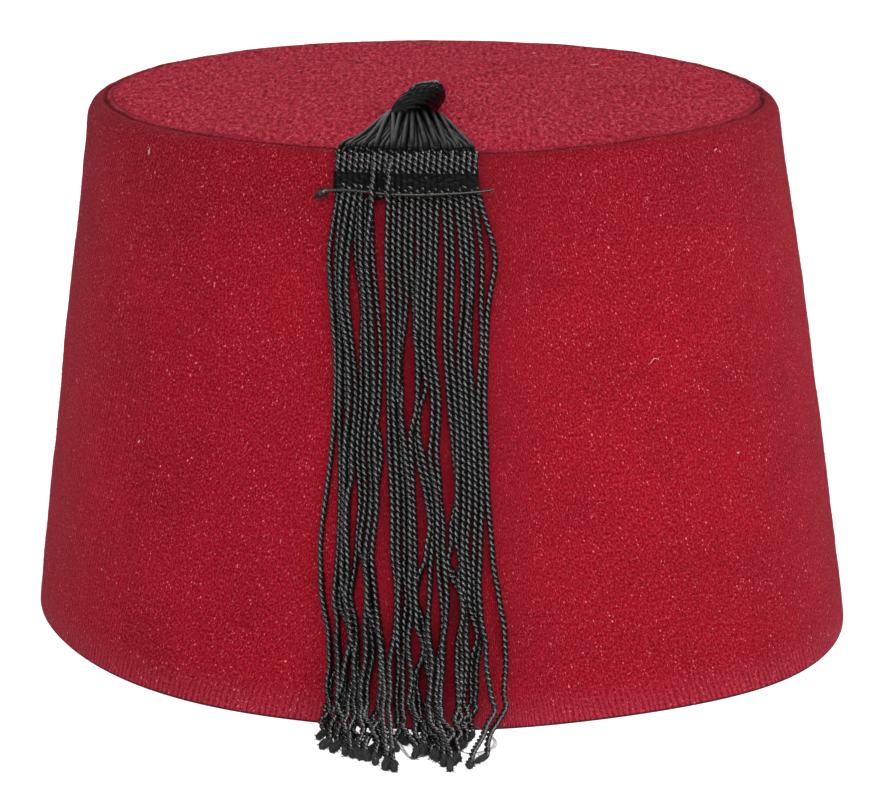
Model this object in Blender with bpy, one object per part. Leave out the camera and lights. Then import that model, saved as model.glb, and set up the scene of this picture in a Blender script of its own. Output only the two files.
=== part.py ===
"""Fez hat: a felt crown and the corded tassel that hangs down its front.

Metres, +Z up. The crown stands on its rim at z = 0 with the tassel on the -Y side,
and the origin is the middle of the footprint, on the ground.
"""
import math
from typing import NamedTuple

import bmesh
import bpy
from mathutils import Vector

# Crown
RIM_DIAMETER = 0.1860
TOP_DIAMETER = 0.1536
HEIGHT = 0.1182
FELT = 0.0025
SHOULDER_RADIUS = 0.0044
RIM_ROUNDING = 0.0005
WALL_SWELL = 0.0004
TOP_SHIFT_X = -0.0019
TOP_SHIFT_Y = -0.0014
CREASE_WIDTH = 0.0026
CREASE_DEPTH = 0.0007
TOP_RISE = 0.0005
DIMPLE_DIAMETER = 0.0150
DIMPLE_DEPTH = 0.0010

# Tassel
TASSEL_X = -0.0064
SKIRT_WIDTH = 0.0350
FAN_START = 0.0385
BAND_DROP = 0.0082
HEAD_DEPTH = 0.0015
LOCK_WIDTH = 0.0025
LOCK_DEPTH = 0.0014
LOCK_ROOT = 0.0030
FOOT_BEND = 0.0045
FLOOR_REACH = 0.0275
END_KNOT_LENGTH = 0.0034
KNOT_HEIGHT = 0.0060
KNOT_SIDEWAYS = 0.0070

# Binding thread
THREAD_DIAMETER = 0.0008
THREAD_RISE = 0.0004
THREAD_LENGTH = 0.0358

# Clearances
GAP = 0.0003
FLOOR_GAP = 0.0001

# Facets
CROWN_SEGMENTS = 72
WALL_RINGS = 7
INNER_WALL_RINGS = 5
SHOULDER_STEPS = 4
LOCK_SIDES = 8
KNOT_SIDES = 14
THREAD_POINTS = 15
SHARP_ANGLE = math.radians(50)


class Lobes(NamedTuple):
    """How far one ring of the crown is out of round."""
    ring: str
    count: int
    swell: float         # share of the ring's radius
    first: float         # degrees from +X to the first lobe


OUT_OF_ROUND = (
    Lobes("rim", 2, 0.016, 122),
    Lobes("rim", 4, 0.008, -36),
    Lobes("rim", 5, 0.007, 26),
    Lobes("top", 2, 0.004, 75),
    Lobes("top", 3, 0.009, -34),
)


class Bulge(NamedTuple):
    """A place where the rim is pushed out, fading up the wall."""
    angle: float         # degrees from +X
    width: float         # degrees to either side
    out: float           # share of the rim's radius


BULGES = (
    Bulge(-88, 15, 0.027),
    Bulge(-57, 14, -0.010),
)


class HeadSection(NamedTuple):
    """One section across the tassel's head; edges are shares of half the skirt's width."""
    place: str           # top, shoulder or wall
    along: float         # share of the way along that place
    left: float
    right: float
    depth: float         # share of the head's depth


HEAD = (
    HeadSection("top", 0.00, -0.29, 0.29, 0.85),
    HeadSection("top", 0.27, -0.37, 0.36, 0.95),
    HeadSection("top", 0.52, -0.52, 0.46, 1.00),
    HeadSection("top", 0.75, -0.64, 0.57, 1.00),
    HeadSection("shoulder", 0.00, -0.77, 0.67, 0.95),
    HeadSection("shoulder", 0.33, -0.89, 0.73, 0.95),
    HeadSection("shoulder", 0.67, -0.93, 0.79, 1.00),
    HeadSection("wall", 0.00, -0.92, 0.79, 1.00),
    HeadSection("wall", 0.50, -0.91, 0.79, 0.90),
    HeadSection("wall", 1.00, -0.90, 0.79, 0.90),
)
GROOVE_SHARE = 0.70      # depth left between two ridges of the head
EDGE_SHARE = 0.45        # depth at its two sides

# Rings of the flat top, as shares of its radius
DISC_RINGS = (0.80, 0.55, 0.30)

# Rings of the dimple in the middle of the top: share of its radius, share of its depth
DIMPLE_RINGS = ((1.0, 0.0), (0.6, 0.6), (0.2, 1.0))

# Rings of the hollow's ceiling, as shares of the top's radius
CEILING_RINGS = (0.5, 0.1)

# Heights of the skirt's sections, as shares of the height of the band's lower edge
SKIRT_HEIGHTS = (0.99, 0.88, 0.77, 0.62, 0.47, 0.32, 0.17, 0.055)


class Lock(NamedTuple):
    """One lock of the skirt; sideways places are shares of half the skirt's width."""
    width: float         # share of the lock width
    sides: tuple         # sideways place at each of the skirt's heights
    tip_side: float
    tip_reach: float     # share of the reach over the floor


LOCKS = (
    Lock(0.56, (-0.87, -0.96, -0.91, -0.91, -0.96, -1.08, -0.93, -0.90), -1.06, 0.39),
    Lock(0.80, (-0.76, -0.82, -0.82, -0.85, -0.81, -0.84, -0.76, -0.78), -0.90, 0.60),
    Lock(1.00, (-0.68, -0.69, -0.73, -0.69, -0.69, -0.71, -0.69, -0.68), -0.75, 0.67),
    Lock(1.00, (-0.56, -0.56, -0.53, -0.55, -0.54, -0.52, -0.55, -0.54), -0.60, 0.72),
    Lock(0.80, (-0.45, -0.46, -0.41, -0.40, -0.41, -0.45, -0.33, -0.36), -0.44, 0.80),
    Lock(1.00, (-0.25, -0.25, -0.25, -0.25, -0.19, -0.18, -0.19, -0.24), -0.23, 0.98),
    Lock(0.75, (-0.12, -0.12, -0.12, -0.16, -0.09, -0.08, -0.07, -0.11), -0.17, 0.44),
    Lock(1.00, (0.01, 0.01, 0.06, 0.01, 0.00, -0.01, 0.01, 0.00), 0.02, 0.74),
    Lock(1.00, (0.14, 0.15, 0.18, 0.22, 0.20, 0.20, 0.20, 0.19), 0.17, 0.70),
    Lock(0.65, (0.26, 0.26, 0.24, 0.32, 0.29, 0.34, 0.34, 0.33), 0.29, 0.81),
    Lock(1.00, (0.40, 0.44, 0.42, 0.47, 0.53, 0.55, 0.56, 0.47), 0.41, 0.90),
    Lock(1.00, (0.54, 0.61, 0.58, 0.61, 0.66, 0.66, 0.67, 0.60), 0.50, 0.80),
    Lock(0.56, (0.65, 0.72, 0.66, 0.71, 0.75, 0.73, 0.76, 0.69), 0.54, 0.61),
    Lock(0.56, (0.72, 0.81, 0.80, 0.78, 0.81, 0.80, 0.86, 0.88), 0.62, 0.89),
    Lock(0.56, (0.78, 0.96, 0.85, 0.85, 0.88, 0.95, 1.07, 1.10), 0.73, 0.81),
)


# Where a lock leaves the wall: share of the foot bend forward, share of it above the ground
FOOT_SECTIONS = ((0.35, 0.30), (1.0, 0.0))

# A lock's knotted end: share of the end knot's length back from the tip, thickness share
TIP_SECTIONS = ((1.0, 1.0), (0.7, 1.35), (0.25, 1.4), (0.0, 0.6))


class KnotSection(NamedTuple):
    """One round section of the knot, from the middle of the top to the fan."""
    along: float         # share of the way to the fan
    side: float          # share of the knot's sideways lean
    lift: float          # share of the knot's height under the section
    girth: float         # diameter as a share of the knot's height


KNOT = (
    KnotSection(0.03, 0.00, 0.00, 0.14),
    KnotSection(0.06, 0.00, 0.00, 0.34),
    KnotSection(0.25, 0.00, 0.00, 0.42),
    KnotSection(0.45, -0.03, 0.00, 0.56),
    KnotSection(0.62, -0.11, 0.00, 0.86),
    KnotSection(0.73, -0.28, 0.00, 1.00),
    KnotSection(0.83, -0.58, 0.00, 0.92),
    KnotSection(0.92, -0.92, 0.00, 0.74),
    KnotSection(0.96, -1.03, 0.05, 0.52),
    KnotSection(0.99, -1.10, 0.14, 0.22),
)


class ThreadSection(NamedTuple):
    """One place along the thread, whose left end is knotted and hangs."""
    along: float         # share of its length
    girth: float         # share of its diameter
    drop: float          # share of its diameter


THREAD = (
    ThreadSection(0.00, 0.8, 1.9),
    ThreadSection(0.02, 2.0, 1.7),
    ThreadSection(0.06, 2.5, 1.2),
    ThreadSection(0.10, 1.3, 0.5),
    ThreadSection(0.15, 1.0, 0.1),
    ThreadSection(0.60, 1.0, 0.5),
    ThreadSection(1.00, 0.8, -0.6),
)

FELT_COLOUR = (0.342, 0.010, 0.024, 1.0)
SILK_COLOUR = (0.010, 0.011, 0.010, 1.0)
KNOT_COLOUR = (0.005, 0.006, 0.005, 1.0)
THREAD_COLOUR = (0.090, 0.092, 0.070, 1.0)


def clear_scene():
    """Removes every object."""
    for item in list(bpy.data.objects):
        bpy.data.objects.remove(item, do_unlink=True)


def material(name, colour, roughness):
    """A plain Principled material."""
    made = bpy.data.materials.new(name)
    made.use_nodes = True
    shader = made.node_tree.nodes["Principled BSDF"]
    shader.inputs["Base Color"].default_value = colour
    shader.inputs["Roughness"].default_value = roughness
    shader.inputs["Metallic"].default_value = 0.0
    made.diffuse_color = colour
    return made


def body_from_rings(name, rings, finish):
    """Skins rings of points into one body, with a flat face at each end."""
    bm = bmesh.new()
    loops = [[bm.verts.new(point) for point in ring] for ring in rings]
    for lower, upper in zip(loops, loops[1:]):
        for i in range(len(lower)):
            j = (i + 1) % len(lower)
            bm.faces.new((lower[i], lower[j], upper[j], upper[i]))
    bm.faces.new(loops[0][::-1])
    bm.faces.new(loops[-1])
    bmesh.ops.triangulate(bm, faces=bm.faces[:])
    bmesh.ops.recalc_face_normals(bm, faces=bm.faces[:])
    mesh = bpy.data.meshes.new(name)
    bm.to_mesh(mesh)
    bm.free()
    mesh.shade_smooth()
    mesh.set_sharp_from_angle(angle=SHARP_ANGLE)
    mesh.materials.append(finish)
    made = bpy.data.objects.new(name, mesh)
    bpy.context.scene.collection.objects.link(made)
    return made


def ring_radius(ring, angle):
    """Outer radius of the rim or of the top at an angle from +X."""
    radius = {"rim": RIM_DIAMETER, "top": TOP_DIAMETER}[ring] / 2
    swell = 0.0
    for row in OUT_OF_ROUND:
        if row.ring == ring:
            swell += row.swell * math.cos(row.count * (angle - math.radians(row.first)))
    if ring == "rim":
        for bulge in BULGES:
            away = math.remainder(angle - math.radians(bulge.angle), 2 * math.pi)
            swell += bulge.out * math.exp(-(away / math.radians(bulge.width)) ** 2)
    return radius * (1 + swell)


def wall_share(z):
    """0 at the rim, 1 where the shoulder starts."""
    return max(0.0, min(z / (HEIGHT - SHOULDER_RADIUS), 1.0))


def crown_axis(z):
    """Middle of the crown at a height: the top sits a little off the rim's middle."""
    share = wall_share(z)
    return Vector((TOP_SHIFT_X * share, TOP_SHIFT_Y * share, z))


def wall_radius(angle, z):
    """Outer radius of the wall."""
    share = wall_share(z)
    straight = ring_radius("rim", angle) * (1 - share) + ring_radius("top", angle) * share
    return straight + WALL_SWELL * math.sin(math.pi * share)


def ring_points(z, radius_at):
    """Points of one ring of the crown, from a radius for each angle."""
    middle = crown_axis(z)
    points = []
    for i in range(CROWN_SEGMENTS):
        angle = 2 * math.pi * i / CROWN_SEGMENTS
        reach = radius_at(angle)
        points.append(middle + Vector((reach * math.cos(angle), reach * math.sin(angle), 0)))
    return points


def shoulder_bend(radius, bend):
    """Inward step and height step of a quarter-round corner at a bend angle."""
    return radius * (1 - math.cos(bend)), radius * math.sin(bend)


def outer_rings():
    """Rings of the outside, from the rim's flat to the middle of the top."""
    rings = []
    for step in (0, 1, 2):
        drop, out = shoulder_bend(RIM_ROUNDING, math.radians(45 * (2 - step)))
        rise = RIM_ROUNDING - out
        rings.append(ring_points(rise, lambda a, d=drop, z=rise: wall_radius(a, z) - d))
    straight = HEIGHT - SHOULDER_RADIUS
    for step in range(1, WALL_RINGS + 1):
        z = RIM_ROUNDING + (straight - RIM_ROUNDING) * step / WALL_RINGS
        rings.append(ring_points(z, lambda a, z=z: wall_radius(a, z)))
    for step in range(1, SHOULDER_STEPS + 1):
        inward, rise = shoulder_bend(SHOULDER_RADIUS, math.pi / 2 * step / SHOULDER_STEPS)
        rings.append(ring_points(straight + rise, lambda a, d=inward: ring_radius("top", a) - d))
    for share, drop in ((0.5, CREASE_DEPTH), (1.0, 0.0)):
        inward = SHOULDER_RADIUS + CREASE_WIDTH * share
        rings.append(ring_points(HEIGHT - drop, lambda a, d=inward: ring_radius("top", a) - d))
    disc = TOP_DIAMETER / 2 - SHOULDER_RADIUS - CREASE_WIDTH
    for share in DISC_RINGS:
        z = HEIGHT + TOP_RISE * (1 - share * share)
        rings.append(ring_points(z, lambda a, r=disc * share: r))
    for share, sink in DIMPLE_RINGS:
        z = HEIGHT + TOP_RISE - DIMPLE_DEPTH * sink
        rings.append(ring_points(z, lambda a, r=DIMPLE_DIAMETER / 2 * share: r))
    return rings


def inner_rings():
    """Rings of the hollow, from its rim to the middle of its ceiling."""
    rings = []
    for step in (0, 1, 2):
        drop, out = shoulder_bend(RIM_ROUNDING, math.radians(45 * (2 - step)))
        rise = RIM_ROUNDING - out
        rings.append(ring_points(rise, lambda a, d=drop, z=rise: wall_radius(a, z) - FELT + d))
    corner = max(SHOULDER_RADIUS - FELT, SHOULDER_RADIUS / 4)
    ceiling = HEIGHT - FELT
    straight = ceiling - corner
    for step in range(1, INNER_WALL_RINGS + 1):
        z = RIM_ROUNDING + (straight - RIM_ROUNDING) * step / INNER_WALL_RINGS
        rings.append(ring_points(z, lambda a, z=z: wall_radius(a, z) - FELT))
    for bend in (45, 90):
        inward, rise = shoulder_bend(corner, math.radians(bend))
        rings.append(ring_points(straight + rise,
                                 lambda a, d=inward: ring_radius("top", a) - FELT - d))
    for share in CEILING_RINGS:
        rings.append(ring_points(ceiling, lambda a, r=TOP_DIAMETER / 2 * share: r))
    return rings


def make_crown(finish):
    """The felt body: one wall with a flat rim, a rounded shoulder and a creased top."""
    rings = inner_rings()[::-1] + outer_rings()
    return body_from_rings("crown", rings, finish)


def front_of(x, z, radius_at):
    """The point at x on the front of a ring, and its angle from +X."""
    middle = crown_axis(z)
    angle = -math.pi / 2
    for _ in range(6):
        reach = (x - middle.x) / radius_at(angle)
        angle = -math.acos(max(-1.0, min(1.0, reach)))
    return Vector((x, middle.y + radius_at(angle) * math.sin(angle), z)), angle


def on_wall(x, z, lift):
    """A point lifted off the front of the wall, and the sideways direction there."""
    point, angle = front_of(x, z, lambda a: wall_radius(a, z))
    out = Vector((math.cos(angle), math.sin(angle), 0))
    return point + out * lift, Vector((-math.sin(angle), math.cos(angle), 0))


def on_shoulder(x, share, lift):
    """A point lifted off the front shoulder: share 0 at its top, 1 at the wall."""
    bend = math.pi / 2 * (1 - share)
    inward, rise = shoulder_bend(SHOULDER_RADIUS, bend)
    z = HEIGHT - SHOULDER_RADIUS + rise
    point, angle = front_of(x, z, lambda a: ring_radius("top", a) - inward)
    level = Vector((math.cos(angle), math.sin(angle), 0)) * math.cos(bend)
    return point + (level + Vector((0, 0, math.sin(bend)))) * lift


def on_top(x, along, lift):
    """A point over the top: along 0 at the fan's start, 1 where the shoulder starts."""
    edge = on_shoulder(x, 0.0, 0.0)
    start = crown_axis(HEIGHT).y - FAN_START
    y = start + (edge.y - start) * along
    return Vector((x, y, HEIGHT + TOP_RISE * (1 - along) + lift))


def band_bottom():
    """Height of the band's lower edge."""
    return HEIGHT - BAND_DROP


def side_place(share):
    """Sideways place from a share of half the skirt's width."""
    return TASSEL_X + share * SKIRT_WIDTH / 2


def head_point(section, x, lift):
    """A point of the head over its place on the crown."""
    if section.place == "top":
        return on_top(x, section.along, lift)
    if section.place == "shoulder":
        return on_shoulder(x, section.along, lift)
    start = HEIGHT - SHOULDER_RADIUS
    return on_wall(x, start + (band_bottom() - start) * section.along, lift)[0]


def head_columns():
    """Ridges and grooves across the head: share across it and share of its depth."""
    middles = [lock.sides[0] for lock in LOCKS]
    left, right = HEAD[-1].left, HEAD[-1].right
    columns = [(0.0, EDGE_SHARE)]
    for here, following in zip(middles, middles[1:] + [None]):
        columns.append(((here - left) / (right - left), 1.0))
        if following is not None:
            groove = (here + following) / 2
            columns.append(((groove - left) / (right - left), GROOVE_SHARE))
    columns.append((1.0, EDGE_SHARE))
    return columns


def make_head(finish):
    """The tassel's head: the fan over the top and the band over the edge, with a ridge a lock."""
    rings = []
    for section in HEAD:
        outside, inside = [], []
        for across, ridge in head_columns():
            x = side_place(section.left + (section.right - section.left) * across)
            depth = HEAD_DEPTH * section.depth * ridge
            outside.append(head_point(section, x, GAP + depth))
            inside.append(head_point(section, x, GAP))
        rings.append(outside + inside[::-1])
    return body_from_rings("tassel", rings, finish)


def lock_route(lock):
    """Points down the middle of a lock, with the sideways direction and the size at each."""
    lift = GAP + LOCK_DEPTH / 2
    heights = [band_bottom() + LOCK_ROOT] + [share * band_bottom() for share in SKIRT_HEIGHTS]
    route = []
    for z, side in zip(heights, (lock.sides[0],) + lock.sides):
        point, across = on_wall(side_place(side), z, lift)
        route.append((point, across, 1.0))
    lying = LOCK_DEPTH / 2 + FLOOR_GAP
    foot, across = on_wall(side_place(lock.sides[-1]), lying, lift)
    tip, tip_across = on_wall(side_place(lock.tip_side), lying, lift)
    reach = FLOOR_REACH * lock.tip_reach
    tip.y -= reach
    for forward, rise in FOOT_SECTIONS:
        bend = foot.lerp(tip, min(FOOT_BEND * forward / reach, 0.5))
        bend.z = lying + FOOT_BEND * rise
        route.append((bend, across, 1.0))
    for back, swell in TIP_SECTIONS:
        end = foot.lerp(tip, 1 - back * END_KNOT_LENGTH / reach)
        end.z = max(swell, 1.0) * LOCK_DEPTH / 2 + FLOOR_GAP
        route.append((end, tip_across, swell))
    return route


def ring_across(middles, index, across, half_width, half_depth, sides):
    """An oval ring square to a route, with its width along the sideways direction."""
    before = middles[max(index - 1, 0)]
    after = middles[min(index + 1, len(middles) - 1)]
    way = (after - before).normalized()
    side = (across - way * across.dot(way)).normalized()
    out = side.cross(way)
    ring = []
    for step in range(sides):
        turn = 2 * math.pi * (step + 0.5) / sides
        ring.append(middles[index] + side * math.cos(turn) * half_width
                    + out * math.sin(turn) * half_depth)
    return ring


def make_lock(index, lock, finish):
    """One lock: an oval section along its route, swelling to the knotted cord ends."""
    route = lock_route(lock)
    middles = [point for point, _, _ in route]
    rings = []
    for i, (_, across, swell) in enumerate(route):
        half_depth = LOCK_DEPTH / 2 * swell
        half_width = LOCK_WIDTH * lock.width / 2 + half_depth - LOCK_DEPTH / 2
        rings.append(ring_across(middles, i, across, half_width, half_depth, LOCK_SIDES))
    return body_from_rings("lock_%02d" % (index + 1), rings, finish)


def make_tassel(finish):
    """Head and locks, fused into one body."""
    head = make_head(finish)
    locks = bpy.data.collections.new("locks")
    bpy.context.scene.collection.children.link(locks)
    helpers = []
    for index, lock in enumerate(LOCKS):
        strand = make_lock(index, lock, finish)
        bpy.context.scene.collection.objects.unlink(strand)
        locks.objects.link(strand)
        strand.hide_render = True
        strand.display_type = "WIRE"
        helpers.append(strand)
    fuse = head.modifiers.new("fuse locks", "BOOLEAN")
    fuse.operation = "UNION"
    fuse.solver = "EXACT"
    fuse.operand_type = "COLLECTION"
    fuse.collection = locks
    fuse.use_self = True
    return head, helpers


def make_knot(finish):
    """The gathered, wound neck of the tassel, from the middle of the top to the fan."""
    centre = crown_axis(HEIGHT)
    surface = HEIGHT + TOP_RISE
    length = FAN_START - GAP
    middles, radii = [], []
    for row in KNOT:
        radius = KNOT_HEIGHT * row.girth / 2
        z = surface + GAP + KNOT_HEIGHT * row.lift + radius
        middles.append(Vector((centre.x + KNOT_SIDEWAYS * row.side, centre.y - length * row.along, z)))
        radii.append(radius)
    sideways = Vector((1, 0, 0))
    rings = [ring_across(middles, i, sideways, radius, radius, KNOT_SIDES)
             for i, radius in enumerate(radii)]
    return body_from_rings("tassel_knot", rings, finish)


def thread_section(share):
    """Girth and drop of the thread at a share of its length."""
    for low, high in zip(THREAD, THREAD[1:]):
        if share <= high.along:
            way = (share - low.along) / (high.along - low.along)
            return low.girth + (high.girth - low.girth) * way, low.drop + (high.drop - low.drop) * way
    return THREAD[-1].girth, THREAD[-1].drop


def make_thread(finish):
    """The stiff thread that binds the band, a round rod with a knotted left end."""
    curve = bpy.data.curves.new("binding_thread", "CURVE")
    curve.dimensions = "3D"
    curve.bevel_depth = THREAD_DIAMETER / 2
    curve.bevel_resolution = 2
    curve.use_fill_caps = True
    bends = {row.along for row in THREAD}
    even = {i / THREAD_POINTS for i in range(THREAD_POINTS + 1)}
    shares = sorted(bends | even)
    spline = curve.splines.new("POLY")
    spline.points.add(len(shares) - 1)
    middle = side_place((HEAD[-1].left + HEAD[-1].right) / 2)
    lift = GAP + HEAD_DEPTH + GAP + THREAD_DIAMETER / 2
    for knot, share in zip(spline.points, shares):
        girth, drop = thread_section(share)
        x = middle + THREAD_LENGTH * (share - 0.5)
        height = band_bottom() + THREAD_RISE - drop * THREAD_DIAMETER
        place, _ = on_wall(x, height, lift)
        knot.co = (place.x, place.y, place.z, 1.0)
        knot.radius = girth
    curve.materials.append(finish)
    made = bpy.data.objects.new("binding_thread", curve)
    bpy.context.scene.collection.objects.link(made)
    return made


def centre_footprint(members):
    """Hangs everything on one empty that puts the middle of the footprint at the origin."""
    corners = []
    for item in members:
        if item.type == "MESH":
            corners.extend(vertex.co for vertex in item.data.vertices)
    middle_x = (min(c.x for c in corners) + max(c.x for c in corners)) / 2
    middle_y = (min(c.y for c in corners) + max(c.y for c in corners)) / 2
    hub = bpy.data.objects.new("fez", None)
    bpy.context.scene.collection.objects.link(hub)
    hub.location = (-middle_x, -middle_y, 0)
    for item in members:
        item.parent = hub
    print("footprint middle", round(middle_x, 6), round(middle_y, 6))


def main():
    """Builds the hat."""
    clear_scene()
    felt = material("felt", FELT_COLOUR, 0.95)
    silk = material("silk_cord", SILK_COLOUR, 0.50)
    wound = material("wound_silk", KNOT_COLOUR, 0.30)
    stiff = material("binding", THREAD_COLOUR, 0.45)
    crown = make_crown(felt)
    tassel, locks = make_tassel(silk)
    knot = make_knot(wound)
    thread = make_thread(stiff)
    centre_footprint([crown, tassel, knot, thread] + locks)


main()
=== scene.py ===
"""The fez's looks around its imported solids: napped felt, real twisted cords, a pale floor and soft light.

Metres. Most functions work in the hat's own frame, with the middle of the rim at (0, 0) and the
tassel on the -Y side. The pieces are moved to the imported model's frame when they are made.
"""
import math
from typing import NamedTuple

import bpy
import numpy as np
from mathutils import Matrix, Vector, noise


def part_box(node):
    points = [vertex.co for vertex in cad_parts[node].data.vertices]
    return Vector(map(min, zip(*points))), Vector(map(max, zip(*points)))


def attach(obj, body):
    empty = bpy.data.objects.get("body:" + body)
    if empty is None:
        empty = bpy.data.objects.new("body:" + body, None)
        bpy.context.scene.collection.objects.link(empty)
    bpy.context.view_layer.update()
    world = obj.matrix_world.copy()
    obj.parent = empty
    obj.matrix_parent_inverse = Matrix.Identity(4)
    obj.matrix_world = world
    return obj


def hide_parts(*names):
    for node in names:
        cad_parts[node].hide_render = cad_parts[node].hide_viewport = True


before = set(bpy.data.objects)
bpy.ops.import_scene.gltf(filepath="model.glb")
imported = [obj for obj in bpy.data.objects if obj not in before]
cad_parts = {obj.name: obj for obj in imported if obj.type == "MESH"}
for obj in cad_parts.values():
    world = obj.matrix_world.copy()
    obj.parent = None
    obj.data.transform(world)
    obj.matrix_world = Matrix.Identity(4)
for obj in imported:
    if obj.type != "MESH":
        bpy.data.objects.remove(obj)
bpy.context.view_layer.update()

MM = 0.001

# Crown
RIM_DIAMETER = 0.1860
TOP_DIAMETER = 0.1536
HEIGHT = 0.1182
FELT = 0.0025
SHOULDER_RADIUS = 0.0044
RIM_ROUNDING = 0.0005
WALL_SWELL = 0.0004
TOP_SHIFT_X = -0.0019
TOP_SHIFT_Y = -0.0014
TOP_RISE = 0.0005
DIMPLE_DIAMETER = 0.0150
DIMPLE_DEPTH = 0.0010

# Tassel
TASSEL_X = -0.0064
FAN_START = 0.0385
KNOT_HEIGHT = 0.0060
KNOT_SIDEWAYS = 0.0070
KNOT_FORWARD = 0.0036
CORD_DIAMETER = 0.00137
CORD_LAY = 0.0027          # one full turn of the twist
CORD_PLIES = 2
CORD_STEP = 0.00027        # between the rings that the mesh is made of
FAN_CORD_DIAMETER = 0.00125
FAN_STEP = 0.00045
FAN_RIB = 0.0017
KNOT_STEP = 0.00024
KNOT_LAY = 0.034
KNOT_WRAP = 0.0013
THREAD_STEP = 0.00012
THREAD_LAY = 0.0016
GAP = 0.0003
CORD_PIECES = 4            # pieces that the skirt's cords are dealt out to

# Camera, from the photo's outline
CAMERA_PLACE = (-0.000264, -0.8927, 0.2713)
CAMERA_PITCH = 0.24361
CAMERA_YAW = 0.00044
CAMERA_ROLL = 0.00338
FOCAL_PIXELS = 4120.9
IMAGE_WIDTH = 882
SENSOR = 36.0

# Felt
CROWN_SEGMENTS = 440
WALL_ROWS = 70
CAD_SEGMENTS = 72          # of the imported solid
WALL_FIBRES = 6500
TOP_FIBRES = 11000
GRAIN_LEAN = 0.24
TOP_NAP = 0.38             # the top's nap is combed front to back
NAP_RIB = 1.3              # mm


class Lobes(NamedTuple):
    """How far one ring of the crown is out of round."""
    ring: str
    count: int
    swell: float         # share of the ring's radius
    first: float         # degrees from +X to the first lobe


OUT_OF_ROUND = (
    Lobes("rim", 2, 0.016, 122),
    Lobes("rim", 4, 0.008, -36),
    Lobes("rim", 5, 0.007, 26),
    Lobes("top", 2, 0.004, 75),
    Lobes("top", 3, 0.009, -34),
)


class Bulge(NamedTuple):
    """A place where the rim is pushed out, fading up the wall."""
    angle: float         # degrees from +X
    width: float         # degrees to either side
    out: float           # share of the rim's radius


BULGES = (
    Bulge(-88, 15, 0.027),
    Bulge(-57, 14, -0.010),
)


class Dent(NamedTuple):
    """A small pucker of the top, in mm in the hat's frame."""
    x: float
    y: float
    radius: float
    depth: float


DENTS = (
    Dent(1.6, -3.8, 2.2, 0.55),
    Dent(-10.8, -4.1, 2.4, 0.50),
    Dent(-9.8, 5.3, 3.0, 0.30),
)


class KnotSection(NamedTuple):
    """One round section of the knot, from the middle of the top to the fan."""
    along: float         # share of the way to the fan
    side: float          # share of the knot's sideways lean
    lift: float          # share of the knot's height under the section
    girth: float         # diameter as a share of the knot's height


KNOT = (
    KnotSection(0.03, 0.00, 0.00, 0.14),
    KnotSection(0.06, 0.00, 0.00, 0.34),
    KnotSection(0.25, 0.00, 0.00, 0.42),
    KnotSection(0.45, -0.03, 0.00, 0.56),
    KnotSection(0.62, -0.09, 0.00, 0.92),
    KnotSection(0.74, -0.20, -0.04, 1.12),
    KnotSection(0.86, -0.46, -0.04, 1.12),
    KnotSection(0.95, -0.84, -0.03, 0.90),
    KnotSection(1.00, -1.08, -0.02, 0.62),
    KnotSection(1.03, -1.20, 0.02, 0.26),
)

# The crease round the top, in mm: inward from the wall, and down from the top
CREASE = ((3.30, 0.25), (3.55, 0.55), (3.75, 0.95), (3.95, 0.95), (4.15, 0.55), (4.45, 0.20), (4.95, 0.05))
CREASE_END = 0.0056
# where the crease round the top is painted with shade, in metres inward from the wall
CREASE_SHADE_BAND = (0.0034, 0.0046)   # from the wall
SAGS = ((-80, 17, -0.55), (-46, 20, 0.40))   # degrees, degrees to either side, mm of the top's edge

# Heights of the skirt's stations in mm
SKIRT_HEIGHTS = (108.9, 96.7, 88.6, 78.4, 68.1, 57.8, 47.6, 37.2, 26.9, 16.5, 6.1)


class Cord(NamedTuple):
    """One cord of the skirt, in mm: sideways from the skirt's middle, and out over the floor."""
    name: str
    sides: tuple         # sideways place at each of the skirt's heights
    bend: tuple          # sideways and out from the wall's foot, half way over the floor
    tip: tuple           # sideways and out from the wall's foot, at its end


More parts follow.
